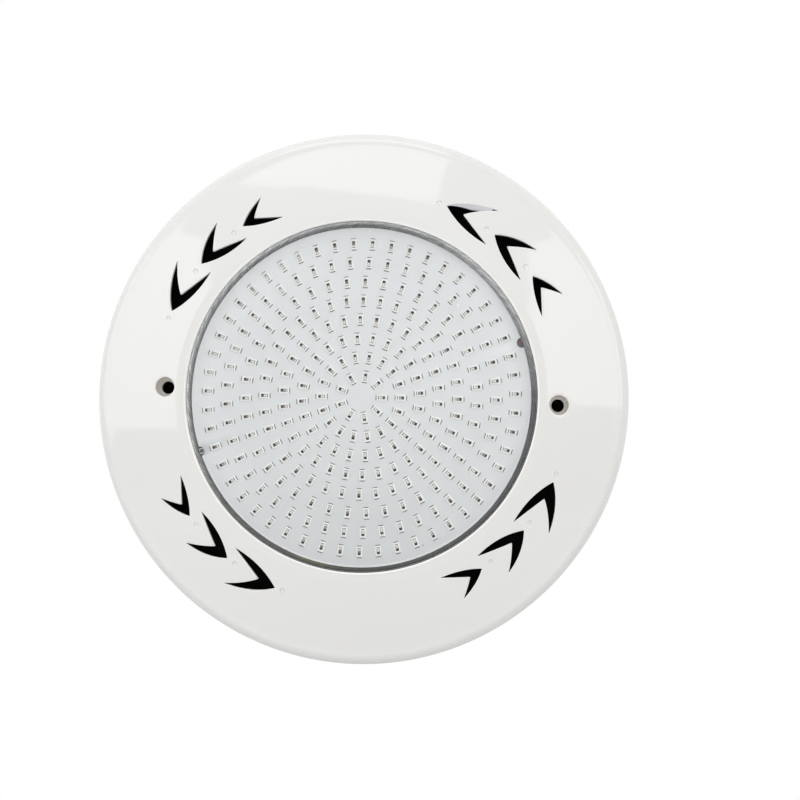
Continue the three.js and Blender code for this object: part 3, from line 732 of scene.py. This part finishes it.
def build_ring():
    SEG = 288
    outer = [(OPEN_R + 0.2, LIP_H + 0.15), (OPEN_R + 0.05, LIP_H + 0.6), (OPEN_R, OPEN_H - 1.0)]
    for k in range(1, 7):  # rounded opening edge
        t = math.pi / 2 * k / 6
        outer.append((OPEN_R + 0.9 * (1 - math.cos(t)), OPEN_H - 0.9 * (1 - math.sin(t))))
    for r in (96.2, 97.2, 98.2, 98.9):
        outer.append((r, face_h(r)))
    # soft break where the flat band meets the slope
    p0, p1, p2 = Vector((98.9, face_h(98.9))), Vector((BAND_R, BAND_H + 0.02)), Vector((100.4, face_h(100.4)))
    for k in range(1, 5):
        u = k / 5
        q = p0 * (1 - u) ** 2 + p1 * 2 * u * (1 - u) + p2 * u * u
        outer.append((q.x, q.y))
    r = 100.4
    while r < CORNER_R - 2.6:
        outer.append((r, face_h(r)))
        r += 1.55
    # corner: from the slope round into the skirt
    a, b = OUT_R - CORNER_R, CORNER_H - OUT_H
    for k in range(0, 21):
        t = math.pi / 2 * (1 - k / 20)
        outer.append((CORNER_R + a * math.cos(t), OUT_H + b * math.sin(t)))
    for h in (15, 10, 5):
        outer.append((OUT_R + (FOOT_R - OUT_R) * (OUT_H - h) / (OUT_H - FOOT_H), h))
    outer += [(FOOT_R, FOOT_H + 0.6), (FOOT_R - 0.18, FOOT_H + 0.18), (FOOT_R - 0.6, FOOT_H)]
    inner = [(FOOT_R - WALL + 0.5, FOOT_H), (FOOT_R - WALL + 0.12, FOOT_H + 0.15), (FOOT_R - WALL, FOOT_H + 0.5)]
    for k in range(0, 9):
        t = math.pi / 2 * k / 8
        inner.append((CORNER_R + (a - WALL) * math.cos(t), OUT_H + (b - WALL) * math.sin(t)))
    for r in (134, 128, 122, 116, 110, 104):
        inner.append((r, face_h(r) - WALL))
    inner += [(COLLAR_OUT, BAND_H - WALL), (COLLAR_OUT, COLLAR_H + 0.2), (COLLAR_OUT - 0.2, COLLAR_H), (COLLAR_IN + 0.2, COLLAR_H), (COLLAR_IN, COLLAR_H + 0.2), (COLLAR_IN, LIP_H), (OPEN_R + 0.4, LIP_H)]
    V, F = lathe_raw(outer + inner, SEG)
    ring = new_object("face_ring_shell", V, F)

    adds = []
    for s in (1, -1):
        adds.append(lathe_raw([(0, 22.4), (7.6, 22.4), (8.0, 22.8), (8.0, 32.0), (0, 32.0)], 64, s * FIX_R, 0, closed=False))
    for d in EARS:
        x, z = EAR_R * math.cos(rad(d)), EAR_R * math.sin(rad(d))
        adds.append(lathe_raw([(0, 24.3), (3.9, 24.3), (4.2, 24.6), (4.2, 32.4), (0, 32.4)], 40, x, z, closed=False))
    union = tool(adds)
    boolean(ring, union, "UNION")
    ribs = []
    for k in range(4):
        for deg in (22 + 90 * k, 77 + 90 * k):
            cs, sn = math.cos(rad(deg)), math.sin(rad(deg))
            prof = [(99, 24), (142.4, 12), (142.4, 21), (139, face_h(138.5) - 2.2), (120, face_h(120) - 2.0), (99, 33.0)]
            loops = []
            for w in (-0.9, 0.9):
                loops.append([(r * cs - w * sn, h, r * sn + w * cs) for r, h in prof])
            ribs.append(loft_raw(loops))
    boolean(ring, tool(ribs), "UNION")

    cuts = []
    for k in range(4):
        for v in VENTS:
            cuts.append(cut_through(vent_loop(v, 90 * k), 0.45, 22))
    for s in (1, -1):
        x = s * FIX_R
        # counterbore with a softened mouth and a small chamfer at the seat
        lp = circle(x, 0, 5.3, 72)
        loops = [[(x + 3.45 * (px - x) / 5.3, 20, pz * 3.45 / 5.3) for px, pz in lp]]
        loops.append([(x + 3.45 * (px - x) / 5.3, 25.2, pz * 3.45 / 5.3) for px, pz in lp])
        loops.append([(x + 3.65 * (px - x) / 5.3, 25.5, pz * 3.65 / 5.3) for px, pz in lp])
        loops.append([(x + 5.05 * (px - x) / 5.3, 25.5, pz * 5.05 / 5.3) for px, pz in lp])
        loops.append([(px, 25.75, pz) for px, pz in lp])
        e = 0.5
        levels = [(0.0, e)] + [(e * (1 - math.cos(math.pi / 2 * q / 5)), e * (1 - math.sin(math.pi / 2 * q / 5))) for q in range(1, 6)] + [(e * 1.15, -0.05), (e * 1.3, -6)]
        for off, depth in levels:
            l2 = circle(x, 0, 5.3 + off, 72)
            loops.append([(px, face_h(math.hypot(px, pz)) - depth, pz) for px, pz in l2])
        cuts.append(loft_raw(loops))
    for d in EARS:
        x, z = EAR_R * math.cos(rad(d)), EAR_R * math.sin(rad(d))
        cuts.append(lathe_raw([(0, 20), (1.9, 20), (1.9, 31.2), (0, 31.2)], 24, x, z, closed=False))
    boolean(ring, tool(cuts), "DIFFERENCE")

    boolean(ring, tool([gusset()]), "UNION")

    # small round dimples with a soft edge, sunk square to the face
    dim = []
    for d in DIMPLES:
        x0, z0 = 112.5 * math.cos(rad(d)), 112.5 * math.sin(rad(d))
        loops = []
        prof = [(0.12, -0.55), (0.55, -0.62), (0.85, -0.72), (1.08, -0.70), (1.24, -0.52), (1.36, -0.24), (1.52, 0.0), (1.75, 0.25)]
        for rr, dh in prof:
            loops.append([(px, face_h(math.hypot(px, pz)) + dh, pz) for px, pz in circle(x0, z0, rr, 40)])
        dim.append(loft_raw(loops))
    boolean(ring, tool(dim), "DIFFERENCE")
    ring.data.materials.clear()
    ring.data.materials.append(WHITE)
    ring.data.materials.append(LIP)
    ring.data.materials.append(INNERWHITE_SHADE_TINT)
    ring.data.materials.append(WARMWHITE_BORE_SHADE)
    spots = [(112.5 * math.cos(rad(d)), 112.5 * math.sin(rad(d))) for d in DIMPLES]
    gcs, gsn = math.cos(rad(VENTS[2][1])), math.sin(rad(VENTS[2][1]))
    slope = Vector((0, -1, 0))
    for p in ring.data.polygons:
        x, h, z = p.center.x / MM, -p.center.y / MM, p.center.z / MM
        r = math.hypot(x, z)
        # faces on the rounded opening edge and the rounded vent edges take the brighter white, a painted highlight kept
        # off the dimples
        hit = OPEN_R - 0.1 < r < OPEN_R + 1.0 and h > OPEN_H - 1.05
        if 100 < r < 126 and face_h(r) - 0.75 < h < face_h(r) + 0.1:
            tilt = rad(13 if r < MID_R else 12)
            n0 = Vector((math.sin(tilt) * x / r, -math.cos(tilt), math.sin(tilt) * z / r))
            hit = hit or p.normal.dot(n0) < 0.93
        hit = hit and all(math.hypot(x - a, z - b) > 2.2 for a, b in spots)
        p.material_index = 1 if hit else 0
        # counterbore walls take the warm white, painted shade inside the bores
        if math.hypot(abs(x) - FIX_R, z) < 5.35 and 25.4 < h < face_h(r) - 0.35:
            p.material_index = 3
        # faces of the wall under the uppermost large vent take the bluish white, a painted cool shade tint
        ga, gt = x * gcs + z * gsn - VENTS[2][0], -x * gsn + z * gcs
        if -14 < gt < 14 and -4 < ga < 13 and face_h(r) - 4.2 < h < face_h(r) - 0.5 and abs(z / max(1e-6, x)) > 1 and 0.2 < -p.normal.y < 0.93:
            p.material_index = 2
    smooth(ring, 28)
    ring.name = "face_ring_shell"
    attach(ring, "lamp")
    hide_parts("face_ring")
    return ring


build_ring()

# ------------------------------------------------------------------ lens and clear filling
def build_lens():
    prof = [(0, 28.9), (60, 28.9), (92.0, 28.9), (93.0, 29.0), (93.05, 30.6)]
    prof = [(0, 30.72), (90, 30.72), (96.6, 30.72), (96.9, 30.85), (97.0, 31.1), (97.0, 31.9), (96.85, 32.2), (96.5, 32.3), (94.05, 32.3)]
    for k in range(0, 11):  # rounded shoulder
        t = math.pi / 2 * k / 10
        prof.append((93.8 + 0.25 * math.cos(t), 33.35 + 0.25 * math.sin(t)))
    prof += [(88, 33.6), (60, 33.6), (30, 33.6), (0, 33.6)]
    V, F = lathe_raw(prof, 256, closed=False)
    o = new_object("lens_clear", V, F, CLEAR, "lamp", 40)
    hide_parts("lens_cover")
    return o


build_lens()


BX, BZ = -0.42, -0.15  # the board sits this much off centre in its housing


def build_rim():
    """Potting that has crept up between the board's edge and the housing wall, a little uneven along the rim."""
    SEG = 512
    FOLLOW = [1, 1, 0.95, 0.85, 0.7, 0.5, 0.25, 0.05, 0, 0, 0, 0, 0]
    V, F = [], []
    rnd = random.Random(3)
    ph = [rnd.uniform(0, 6.28) for _ in range(12)]

    def wav(a, q):
        return sum(math.sin(a * m + ph[i] + q) / (1 + i * 0.35) for i, m in enumerate((3, 7, 13, 22, 37, 61, 90))) / 3

    prof = [(92.02, 25.8), (92.05, 26.8), (92.2, 27.4), (92.4, 27.9), (92.6, 28.6), (92.8, 29.4), (93.1, 30.2), (93.6, 30.55), (94.7, 30.66), (94.7, 30.46), (93.3, 30.46), (93.2, 30.2), (93.2, 25.8)]
    for j, (r, h) in enumerate(prof):
        for k in range(SEG):
            a = 2 * math.pi * k / SEG
            dr, dh = 0, 0
            if 1 <= j <= 7:
                dr = 0.05 * wav(a, j * 0.9)
                dh = 0.16 * wav(a, j * 0.7 + 2)
            rr = r + dr
            f = FOLLOW[j]
            V.append((rr * math.cos(a) + BX * f, h + (dh if j < 6 else 0), rr * math.sin(a) + BZ * f))
    n = len(prof)
    for j in range(n):
        for k in range(SEG):
            F.append([j * SEG + k, j * SEG + (k + 1) % SEG, ((j + 1) % n) * SEG + (k + 1) % SEG, ((j + 1) % n) * SEG + k])
    o = new_object("resin_rim", V, F, RIM, "lamp", 60)
    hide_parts("front_resin")
    return o


build_rim()

# ------------------------------------------------------------------ LED board
NOTCH = [21.2, 201.5]
NOTCH_AT = [91.75, 92.1]
NOTCH_R = [2.75, 2.6]
SCREW_AT = [91.1, 91.5]


def build_board():
    prof = [(0, 25.6), (60, 25.6), (91.6, 25.6), (91.9, 25.8), (91.9, 26.95)]
    for k in range(1, 5):
        t = math.pi / 2 * k / 4
        prof.append((91.65 + 0.25 * math.cos(t), 26.95 + 0.25 * math.sin(t)))
    prof += [(90.95, 27.2), (90.9, 27.16), (60, 27.16), (0, 27.16)]
    V, F = lathe_raw(prof, 288, closed=False)
    o = new_object("led_board_white", V, F)
    cuts = []
    for d, at, nr in zip(NOTCH, NOTCH_AT, NOTCH_R):
        x, z = at * math.cos(rad(d)), at * math.sin(rad(d))
        loops = []
        for r, h in ((nr, 24), (nr, 27.0), (nr + 0.05, 27.12), (nr + 0.18, 27.2), (nr + 0.4, 27.3), (nr + 0.4, 30)):
            loops.append([(px, h, pz) for px, pz in circle(x, z, r, 48)])
        cuts.append(loft_raw(loops))
    boolean(o, tool(cuts), "DIFFERENCE")
    for v in o.data.vertices:
        v.co.x += BX * MM
        v.co.z += BZ * MM
    o.data.materials.clear()
    o.data.materials.append(BOARD)
    o.data.materials.append(BOARDEDGE_HIGHLIGHT)
    # the raised strip at the board's rim takes the near-white material, a painted highlight
    for p in o.data.polygons:
        r = math.hypot(p.center.x - BX * MM, p.center.z - BZ * MM) / MM
        p.material_index = 1 if r > 90.89 and -p.center.y / MM > 26.9 else 0
    smooth(o, 40)
    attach(o, "lamp")
    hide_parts("led_board")


build_board()

# ------------------------------------------------------------------ LEDs
COUNTS = [9, 18, 24, 30, 36, 39, 45, 51]
RADII = [11.2, 21.5, 31.8, 42.15, 52.45, 62.7, 73.0, 83.25]
ON_SPOKE = [False, True, True, True, True, False, False, False]
SPOKE = 21.5
LX, LZ = -0.25, -0.5  # the board sits this much off centre in its housing
TOP = 27.2


def led_parts(r, deg, rnd):
    """One package: body with a well, chip, filling and solder at both ends. Returns [(verts, faces, material)]."""
    out = []
    wob = rnd.uniform(-1.0, 1.0)  # placed by machine, so only a slight turn
    cs, sn = math.cos(rad(deg)), math.sin(rad(deg))
    ca, sa = math.cos(rad(wob)), math.sin(rad(wob))
    ju, jw = rnd.uniform(-0.06, 0.06), rnd.uniform(-0.05, 0.05)

    def P(u, w, h):
        u, w = u * ca - w * sa + r + ju, u * sa + w * ca + jw
        return (u * cs - w * sn + LX, h, u * sn + w * cs + LZ)

    def rect(u0, u1, w0, w1, c=0.0, n=2):
        """Rectangle outline with corners cut round by c."""
        if c <= 0:
            return [(u0, w0), (u1, w0), (u1, w1), (u0, w1)]
        pts = []
        for (cu, cw, a0) in ((u1 - c, w0 + c, -90), (u1 - c, w1 - c, 0), (u0 + c, w1 - c, 90), (u0 + c, w0 + c, 180)):
            for k in range(n + 1):
                a = rad(a0 + 90 * k / n)
                pts.append((cu + c * math.cos(a), cw + c * math.sin(a)))
        return pts

    def ring_of(pts, h):
        return [P(u, w, h) for u, w in pts]

    L, W = 2.85, 1.62
    b0, b1 = TOP + 0.03, TOP + 0.62
    # body: outside up, over the rim, down into the well, well floor
    wu0, wu1, ww = -1.15, 1.75, 0.84
    loops = [
        ring_of(rect(-L, L, -W, W, 0.18), b0),
        ring_of(rect(-L, L, -W, W, 0.18), b1 - 0.12),
        ring_of(rect(-L + 0.1, L - 0.1, -W + 0.1, W - 0.1, 0.18), b1),
        ring_of(rect(wu0 - 0.14, wu1 + 0.14, -ww - 0.14, ww + 0.14, 0.34), b1),
        ring_of(rect(wu0, wu1, -ww, ww, 0.26), b1 - 0.26),
    ]
    V, F = loft_raw(loops)
    nfl = len(F)
    mats = [0] * nfl
    # the well floor takes the grey: painted shade
    mats[-1] = 1  # well floor
    out.append((V, F, mats))
    fl = b1 - 0.26
    # dark chip at the outer end of the well
    kind = rnd.random()
    c0 = 0.50 + rnd.uniform(-0.14, 0.12)
    cw = 0.76 + rnd.uniform(-0.05, 0.04)
    tone = rnd.random()
    V, F = loft_raw([ring_of(rect(c0, 1.68, -cw, cw, 0.1), fl - 0.05), ring_of(rect(c0, 1.68, -cw, cw, 0.1), fl + 0.14), ring_of(rect(c0 + 0.05, 1.63, -cw + 0.06, cw - 0.06, 0.08), fl + 0.18)])
    # about half the chips in the upper left of the outer rings turn grey: painted reflection of the lens
    in_glare_sector = 112 < deg % 360 < 174 and r > 70
    glare_pick = rnd.random() < 0.55
    out.append((V, F, [5 if in_glare_sector and glare_pick else 2] * len(F)))
    # filling between the chip and the inner end
    m = 3 if kind < 0.58 else (5 if kind < 0.82 else 4)
    side = 0.28 if m != 3 else 0.30
    taper = 0.22 if m == 4 else 0.0
    u1 = c0 - (0.02 if m != 3 else 0.06)
    u0 = -1.02 if m != 4 else -0.55
    hh = fl + 0.10
    a, bq = [(u0, -ww + side), (u1, -ww + side + taper), (u1, ww - side - taper), (u0, ww - side)], None
    V, F = loft_raw([[P(u, w, fl - 0.05) for u, w in a], [P(u, w, hh) for u, w in a]])
    out.append((V, F, [m] * len(F)))
    if m == 4:
        a = [(-1.06, -ww + 0.2), (-0.62, -ww + 0.2), (-0.62, ww - 0.2), (-1.06, ww - 0.2)]
        V, F = loft_raw([[P(u, w, fl - 0.05) for u, w in a], [P(u, w, hh) for u, w in a]])
        out.append((V, F, [3] * len(F)))
    # grey line across the body near its inner end
    V, F = loft_raw([ring_of(rect(-1.96, -1.58, -1.02, 1.02), b1 - 0.05), ring_of(rect(-1.96, -1.58, -1.02, 1.02), b1 + 0.012)])
    out.append((V, F, [7] * len(F)))
    # solder fillets at both ends
    for s in (1, -1):
        w = 1.38
        u_in, u_out = s * (L - 0.02), s * (L + 0.5)
        A = [P(u_in, -w, b0 - 0.06), P(u_out, -w * 0.96, b0 - 0.06), P(u_in, -w, b0 + 0.25)]
        B = [P(u_in, w, b0 - 0.06), P(u_out, w * 0.96, b0 - 0.06), P(u_in, w, b0 + 0.25)]
        V = A + B
        F = [[0, 1, 2], [5, 4, 3], [0, 3, 4, 1], [1, 4, 5, 2], [2, 5, 3, 0]]
        out.append((V, F, [6] * len(F)))
    return out


def build_leds():
    rnd = random.Random(11)
    mats = [LEDBODY, LEDWELL_SHADE, LEDCHIP, LEDWHITE, LEDBROWN, LEDGREY_AND_GLARE, SOLDER, LEDLINE]
    for i, (n, r) in enumerate(zip(COUNTS, RADII)):
        V, F, M = [], [], []
        ph = SPOKE + (0 if ON_SPOKE[i] else 180 / n)
        for k in range(n):
            for v, f, m in led_parts(r, ph + 360 * k / n, rnd):
                b = len(V)
                V += v
                F += [[q + b for q in x] for x in f]
                M += m
        name = f"led_packages_{i + 1}"
        me = bpy.data.meshes.new(name)
        me.from_pydata([(x * MM, -h * MM, z * MM) for x, h, z in V], [], F)
        for m in mats:
            me.materials.append(m)
        me.polygons.foreach_set("material_index", M)
        bm = bmesh.new()
        bm.from_mesh(me)
        bmesh.ops.recalc_face_normals(bm, faces=bm.faces)
        bm.to_mesh(me)
        bm.free()
        o = bpy.data.objects.new(name, me)
        COL.objects.link(o)
        smooth(o, 50)
        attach(o, "lamp")
        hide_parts(f"led_ring_{i + 1}")


build_leds()


# ------------------------------------------------------------------ board screws
def build_screw(name, node, x, z, parts, mat, cut=None, body="lamp"):
    V, F = lathe_raw(parts, 48, x, z, closed=False)
    o = new_object(name, V, F)
    if cut:
        boolean(o, tool(cut), "DIFFERENCE")
        o.data.materials.clear()
    o.data.materials.append(mat)
    o.data.polygons.foreach_set("material_index", [0] * len(o.data.polygons))
    smooth(o, 35)
    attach(o, body)
    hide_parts(node)
    return o


def cross(x, z, size, width, low, high, turn=20):
    out = []
    for t in (turn, turn + 90):
        cs, sn = math.cos(rad(t)), math.sin(rad(t))
        loops = []
        for h, k in ((low, 0.55), (high, 1.0)):
            a, b = size * k, width * (0.6 + 0.4 * k)
            loops.append([(x + u * cs - w * sn, h, z + u * sn + w * cs) for u, w in ((-a, -b), (a, -b), (a, b), (-a, b))])
        out.append(loft_raw(loops))
    return out


for i, d in enumerate(NOTCH):
    x, z = SCREW_AT[i] * math.cos(rad(d)), SCREW_AT[i] * math.sin(rad(d))
    if i == 0:
        head = [(0, 16), (1.2, 16.2), (1.2, 25.6), (2.2, 25.6), (2.35, 25.75), (2.35, 26.0), (2.2, 26.2), (1.5, 26.3), (1.42, 26.4)]
        head += [(1.42 * math.cos(math.pi / 2 * k / 8) if k < 8 else 0, 26.4 + 0.6 * math.sin(math.pi / 2 * k / 8)) for k in range(1, 9)]
    else:
        head = [(0, 16), (1.2, 16.2), (1.2, 25.6), (1.7, 25.6), (1.8, 25.7), (1.8, 26.5)]
        head += [(1.55 + 0.25 * math.cos(math.pi / 2 * k / 6), 26.5 + 0.5 * math.sin(math.pi / 2 * k / 6)) for k in range(1, 7)]
        head += [(1.25, 27.0), (1.0, 26.9), (0.85, 26.2), (0, 26.2)]
    o = build_screw(f"board_screw_{i + 1}_head", f"board_screw_{i + 1}", x, z, head, COPPER if i == 0 else STEEL)
    if i == 1:
        # darker steel in the socket and on the head's sides: painted shade
        o.data.materials.append(DARK_STEEL)
        for p in o.data.polygons:
            far = math.hypot(p.center.x / MM - x, p.center.z / MM - z)
            p.material_index = 1 if far < 1.1 or far > 1.7 else 0
    if i == 0:
        boolean(o, tool(cross(x, z, 0.85, 0.2, 26.5, 27.4)), "DIFFERENCE")
        smooth(o, 35)
        o.data.materials.clear()
        o.data.materials.append(COPPER)
        # the copper screw's flange beyond r 1.44 takes the dark steel
        o.data.materials.append(DARK_STEEL)
        for p in o.data.polygons:
            p.material_index = 1 if math.hypot(p.center.x / MM - x, p.center.z / MM - z) > 1.44 else 0


# ------------------------------------------------------------------ rear housing
def build_pot():
    prof = rounded([
        (8.2, 8.0, 0.2), (93.6, 8.0, 1.2), (96.6, 11.0, 1.2), (96.6, 26.9, 0.4), (97.0, 27.8, 0.4), (97.0, 30.4, 0.25),
        (96.1, 30.4, 0.15), (96.1, 28.9, 0.1), (94.3, 28.9, 0.1), (94.3, 30.4, 0.15), (93.4, 30.4, 0.15), (93.4, 11.0, 0.6), (8.2, 11.0, 0.2)], 5)
    V, F = lathe_raw(prof, 256)
    o = new_object("rear_housing_pot", V, F)
    adds = []
    for d in EARS:
        x, z = EAR_R * math.cos(rad(d)), EAR_R * math.sin(rad(d))
        adds.append(lathe_raw([(0, 20), (4.7, 20), (5, 20.3), (5, 23.7), (4.7, 24), (0, 24)], 48, x, z, closed=False))
    boolean(o, tool(adds), "UNION")
    boolean(o, tool([box_raw(EAR_R - 4.6, d, 9.2, 9.96, 20.02, 23.98) for d in EARS]), "UNION")
    boolean(o, tool([box_raw(97.6, d, 4.6, 2.2, 13, 20.5) for d in EARS]), "UNION")
    # round bores through the pot at the four ears
    boolean(o, tool([lathe_raw([(0, 10), (2.1, 10), (2.1, 30), (0, 30)], 32, EAR_R * math.cos(rad(d)), EAR_R * math.sin(rad(d)), closed=False) for d in EARS]), "DIFFERENCE")
    o.data.materials.clear()
    o.data.materials.append(GREY)
    o.data.polygons.foreach_set("material_index", [0] * len(o.data.polygons))
    smooth(o, 30)
    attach(o, "lamp")
    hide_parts("rear_housing")


build_pot()


# ------------------------------------------------------------------ wall bracket
def build_bracket():
    prof = rounded([(22, 0, 0.4), (137, 0, 0.4), (137, 3, 0.4), (135.8, 3, 0.1), (135.8, 7, 0.4), (133.4, 7, 0.4), (133.4, 3, 0.6), (22, 3, 0.4)], 4)
    V, F = lathe_raw(prof, 256)
    o = new_object("wall_bracket_plate", V, F)
    adds = []
    for s in (1, -1):
        adds.append(lathe_raw([(0, 2.5), (7.6, 2.5), (7.3, 3.6), (7, 5), (7, 21.7), (6.6, 22.1), (0, 22.1)], 64, s * FIX_R, 0, closed=False))
    boolean(o, tool(adds), "UNION")
    boolean(o, tool([box_raw(120, 0 if s > 0 else 180, 28.5, 2.2, 2.5, 7) for s in (1, -1)] + [box_raw(84, 90 * k + 20, 10, 16, 2.5, 7.7, 0.4) for k in range(4)]), "UNION")
    cuts = [lathe_raw([(0, 5), (3.3, 5), (3.3, 30), (0, 30)], 40, s * FIX_R, 0, closed=False) for s in (1, -1)]
    for k in range(4):
        x, z = 70 * math.cos(rad(45 + 90 * k)), 70 * math.sin(rad(45 + 90 * k))
        cuts.append(lathe_raw([(0, -2), (2.75, -2), (2.75, 1.4), (4.6, 3.05), (4.6, 6), (0, 6)], 48, x, z, closed=False))
    boolean(o, tool(cuts), "DIFFERENCE")
    o.data.materials.clear()
    o.data.materials.append(BLACK)
    o.data.polygons.foreach_set("material_index", [0] * len(o.data.polygons))
    smooth(o, 30)
    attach(o, "bracket")
    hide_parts("wall_bracket")


build_bracket()

for name, s in (("right", 1), ("left", -1)):
    prof = rounded([(1.7, 5.2, 0.1), (2.95, 5.2, 0.1), (2.95, 7.4, 0.05), (2.6, 7.7, 0.05), (2.6, 8.7, 0.05), (2.95, 9.0, 0.05), (2.95, 13.2, 0.15), (1.7, 13.2, 0.2)], 3)
    V, F = lathe_raw(prof, 48, s * FIX_R, 0)
    # the inserts use the near-black brass, painted shade deep in the bores
    o = new_object(f"insert_{name}_brass", V, F, BRASS, "bracket", 30)
    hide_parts(f"bracket_insert_{name}")

# ------------------------------------------------------------------ gland
def hexagon_raw(r, low, high, ch=0.5, turn=30):
    loops = []
    for h, k in ((low, 1 - ch / r), (low + ch, 1), (high - ch, 1), (high, 1 - ch / r)):
        loops.append([(r * k * math.cos(rad(turn + 60 * i)), h, r * k * math.sin(rad(turn + 60 * i))) for i in range(6)])
    return loft_raw(loops)


def build_gland():
    V, F = hexagon_raw(12.7, -6.5, 3.1, 0.5)
    nut = new_object("gland_nut_hex", V, F)
    dome = rounded([(0, -5.9, 0), (11.0, -5.9, 0.2), (10.6, -8.6, 1.0), (9.0, -11.2, 1.2), (7.6, -12, 0.3), (0, -12, 0)], 5)
    boolean(nut, tool([lathe_raw(dome, 96, closed=False)]), "UNION")
    # grip flutes at the hexagon's corners come from the intersection with a round
    boolean(nut, tool([lathe_raw([(0, -13), (11, -13), (12.4, -7), (12.4, 3.3), (0, 3.3)], 96, closed=False)]), "INTERSECT")
    boolean(nut, tool([lathe_raw([(0, 4), (7.9, 4), (7.9, -4.2), (5.0, -7), (5.0, -11.6), (5.4, -13), (0, -13)], 64, closed=False)]), "DIFFERENCE")
    nut.data.materials.clear()
    nut.data.materials.append(BLACK)
    nut.data.polygons.foreach_set("material_index", [0] * len(nut.data.polygons))
    smooth(nut, 30)
    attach(nut, "lamp")
    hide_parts("gland_nut")


build_gland()

# ------------------------------------------------------------------ CAD nodes that stay: their finish
KEEP = {
    "lens_gasket": SILICONE, "rear_resin": DARKRESIN, "driver_board": PCB, "bridge_rectifier": CHIPBLACK, "choke_coil": FERRITE,
    "capacitor_1": CAN, "capacitor_2": CAN, "driver_ic": CHIPBLACK, "led_lead_positive": RED, "led_lead_negative": WIREBLACK,
    "gland_body": BLACK, "gland_oring": RUBBER, "gland_locknut": BLACK, "gland_seal": RUBBER,
    "ring_screw_1": STEEL, "ring_screw_2": STEEL, "ring_screw_3": STEEL, "ring_screw_4": STEEL,
}
for n, m in KEEP.items():
    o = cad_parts[n]
    o.data.materials.clear()
    o.data.materials.append(m)
    o.data.polygons.foreach_set("material_index", [0] * len(o.data.polygons))
    smooth(o, 30)

# ------------------------------------------------------------------ floor, light, camera
def floor():
    me = bpy.data.meshes.new("floor")
    x, y0, y1, z = 2.2, -2.4, 0.5, -0.388
    me.from_pydata([(-x, y0, z), (x, y0, z), (x, y1, z), (-x, y1, z)], [], [[0, 1, 2, 3]])
    o = bpy.data.objects.new("floor", me)
    COL.objects.link(o)
    m = plastic("floor_pale", (0.68, 0.68, 0.675), 0.7, 0.01)
    me.materials.append(m)


floor()

world = bpy.data.worlds.new("studio")
bpy.context.scene.world = world
world.use_nodes = True
nt = world.node_tree
bg = nt.nodes["Background"]
bg.inputs["Color"].default_value = (1, 1, 1, 1)
wtc = nt.nodes.new("ShaderNodeTexCoord")
wsep = nt.nodes.new("ShaderNodeSeparateXYZ")
nt.links.new(wtc.outputs["Generated"], wsep.inputs["Vector"])
wmr = nt.nodes.new("ShaderNodeMapRange")
wmr.interpolation_type = "SMOOTHSTEP"
wmr.inputs["From Min"].default_value = -0.35
wmr.inputs["From Max"].default_value = 0.15
wmr.inputs["To Min"].default_value = 0.505
wmr.inputs["To Max"].default_value = 0.93
nt.links.new(wsep.outputs["Y"], wmr.inputs["Value"])
nt.links.new(wmr.outputs["Result"], bg.inputs["Strength"])
bg2 = nt.nodes.new("ShaderNodeBackground")
bg2.inputs["Color"].default_value = (1, 1, 1, 1)
bg2.inputs["Strength"].default_value = 1.0
lp = nt.nodes.new("ShaderNodeLightPath")
mx = nt.nodes.new("ShaderNodeMixShader")
nt.links.new(lp.outputs["Is Camera Ray"], mx.inputs["Fac"])
nt.links.new(bg.outputs["Background"], mx.inputs[1])
nt.links.new(bg2.outputs["Background"], mx.inputs[2])
nt.links.new(mx.outputs["Shader"], nt.nodes["World Output"].inputs["Surface"])


def area(name, loc, target, size, size_y, power, color=(1, 1, 1)):
    l = bpy.data.lights.new(name, "AREA")
    l.shape = "RECTANGLE"
    l.size, l.size_y = size, size_y
    l.energy = power
    l.color = color
    o = bpy.data.objects.new(name, l)
    COL.objects.link(o)
    o.location = loc
    o.rotation_euler = (Vector(target) - Vector(loc)).to_track_quat("-Z", "Y").to_euler()
    return o


def panel(name, az, el, width, height, radiance, dist=1.6, color=(1, 1, 1), roll=0.0):
    """A softbox seen from the lamp at the given azimuth (0 straight ahead, + to the right) and elevation, in degrees."""
    d = Vector((math.sin(rad(az)) * math.cos(rad(el)), -math.cos(rad(az)) * math.cos(rad(el)), math.sin(rad(el))))
    w, h = 2 * dist * math.tan(rad(width / 2)), 2 * dist * math.tan(rad(height / 2))
    o = area(name, d * dist, (0, 0, 0), w, h, radiance * math.pi * w * h, color)
    if roll:
        o.rotation_euler = (o.rotation_euler.to_matrix() @ Matrix.Rotation(rad(roll), 3, "Z")).to_euler()
    return o


panel("softbox_left", -48, 11, 34, 30, 1.79)
panel("softbox_right", 42, 15.5, 34, 26, 1.93)
panel("softbox_top", -10, 53, 31, 36, 1.85)
panel("softbox_front", -3, -2, 30, 44, 0.38, dist=2.2)

cam = bpy.data.cameras.new("camera")
cam.sensor_fit = "HORIZONTAL"
cam.sensor_width = 36.0
cam.lens = 36.0 * 1297.0 / 800.0
co = bpy.data.objects.new("camera", cam)
COL.objects.link(co)
right = Vector((0.99845469, 0.02842092, 0.04775439))
up = Vector((-0.04647069, -0.04423251, 0.99793986))
fwd = Vector((-0.03047467, 0.99861691, 0.04284342))
M = Matrix.Identity(4)
for i in range(3):
    M[i][0], M[i][1], M[i][2] = right[i], up[i], -fwd[i]
place = Vector((0.04249, -0.72776, -0.03120)) - right * 0.00034 + up * 0.00020
M[0][3], M[1][3], M[2][3] = place
co.matrix_world = M
bpy.context.scene.camera = co
vs = bpy.context.scene.view_settings
vs.view_transform = "Standard"
vs.look = "None"
vs.exposure = 0.0
vs.gamma = 1.0

bpy.context.view_layer.update()
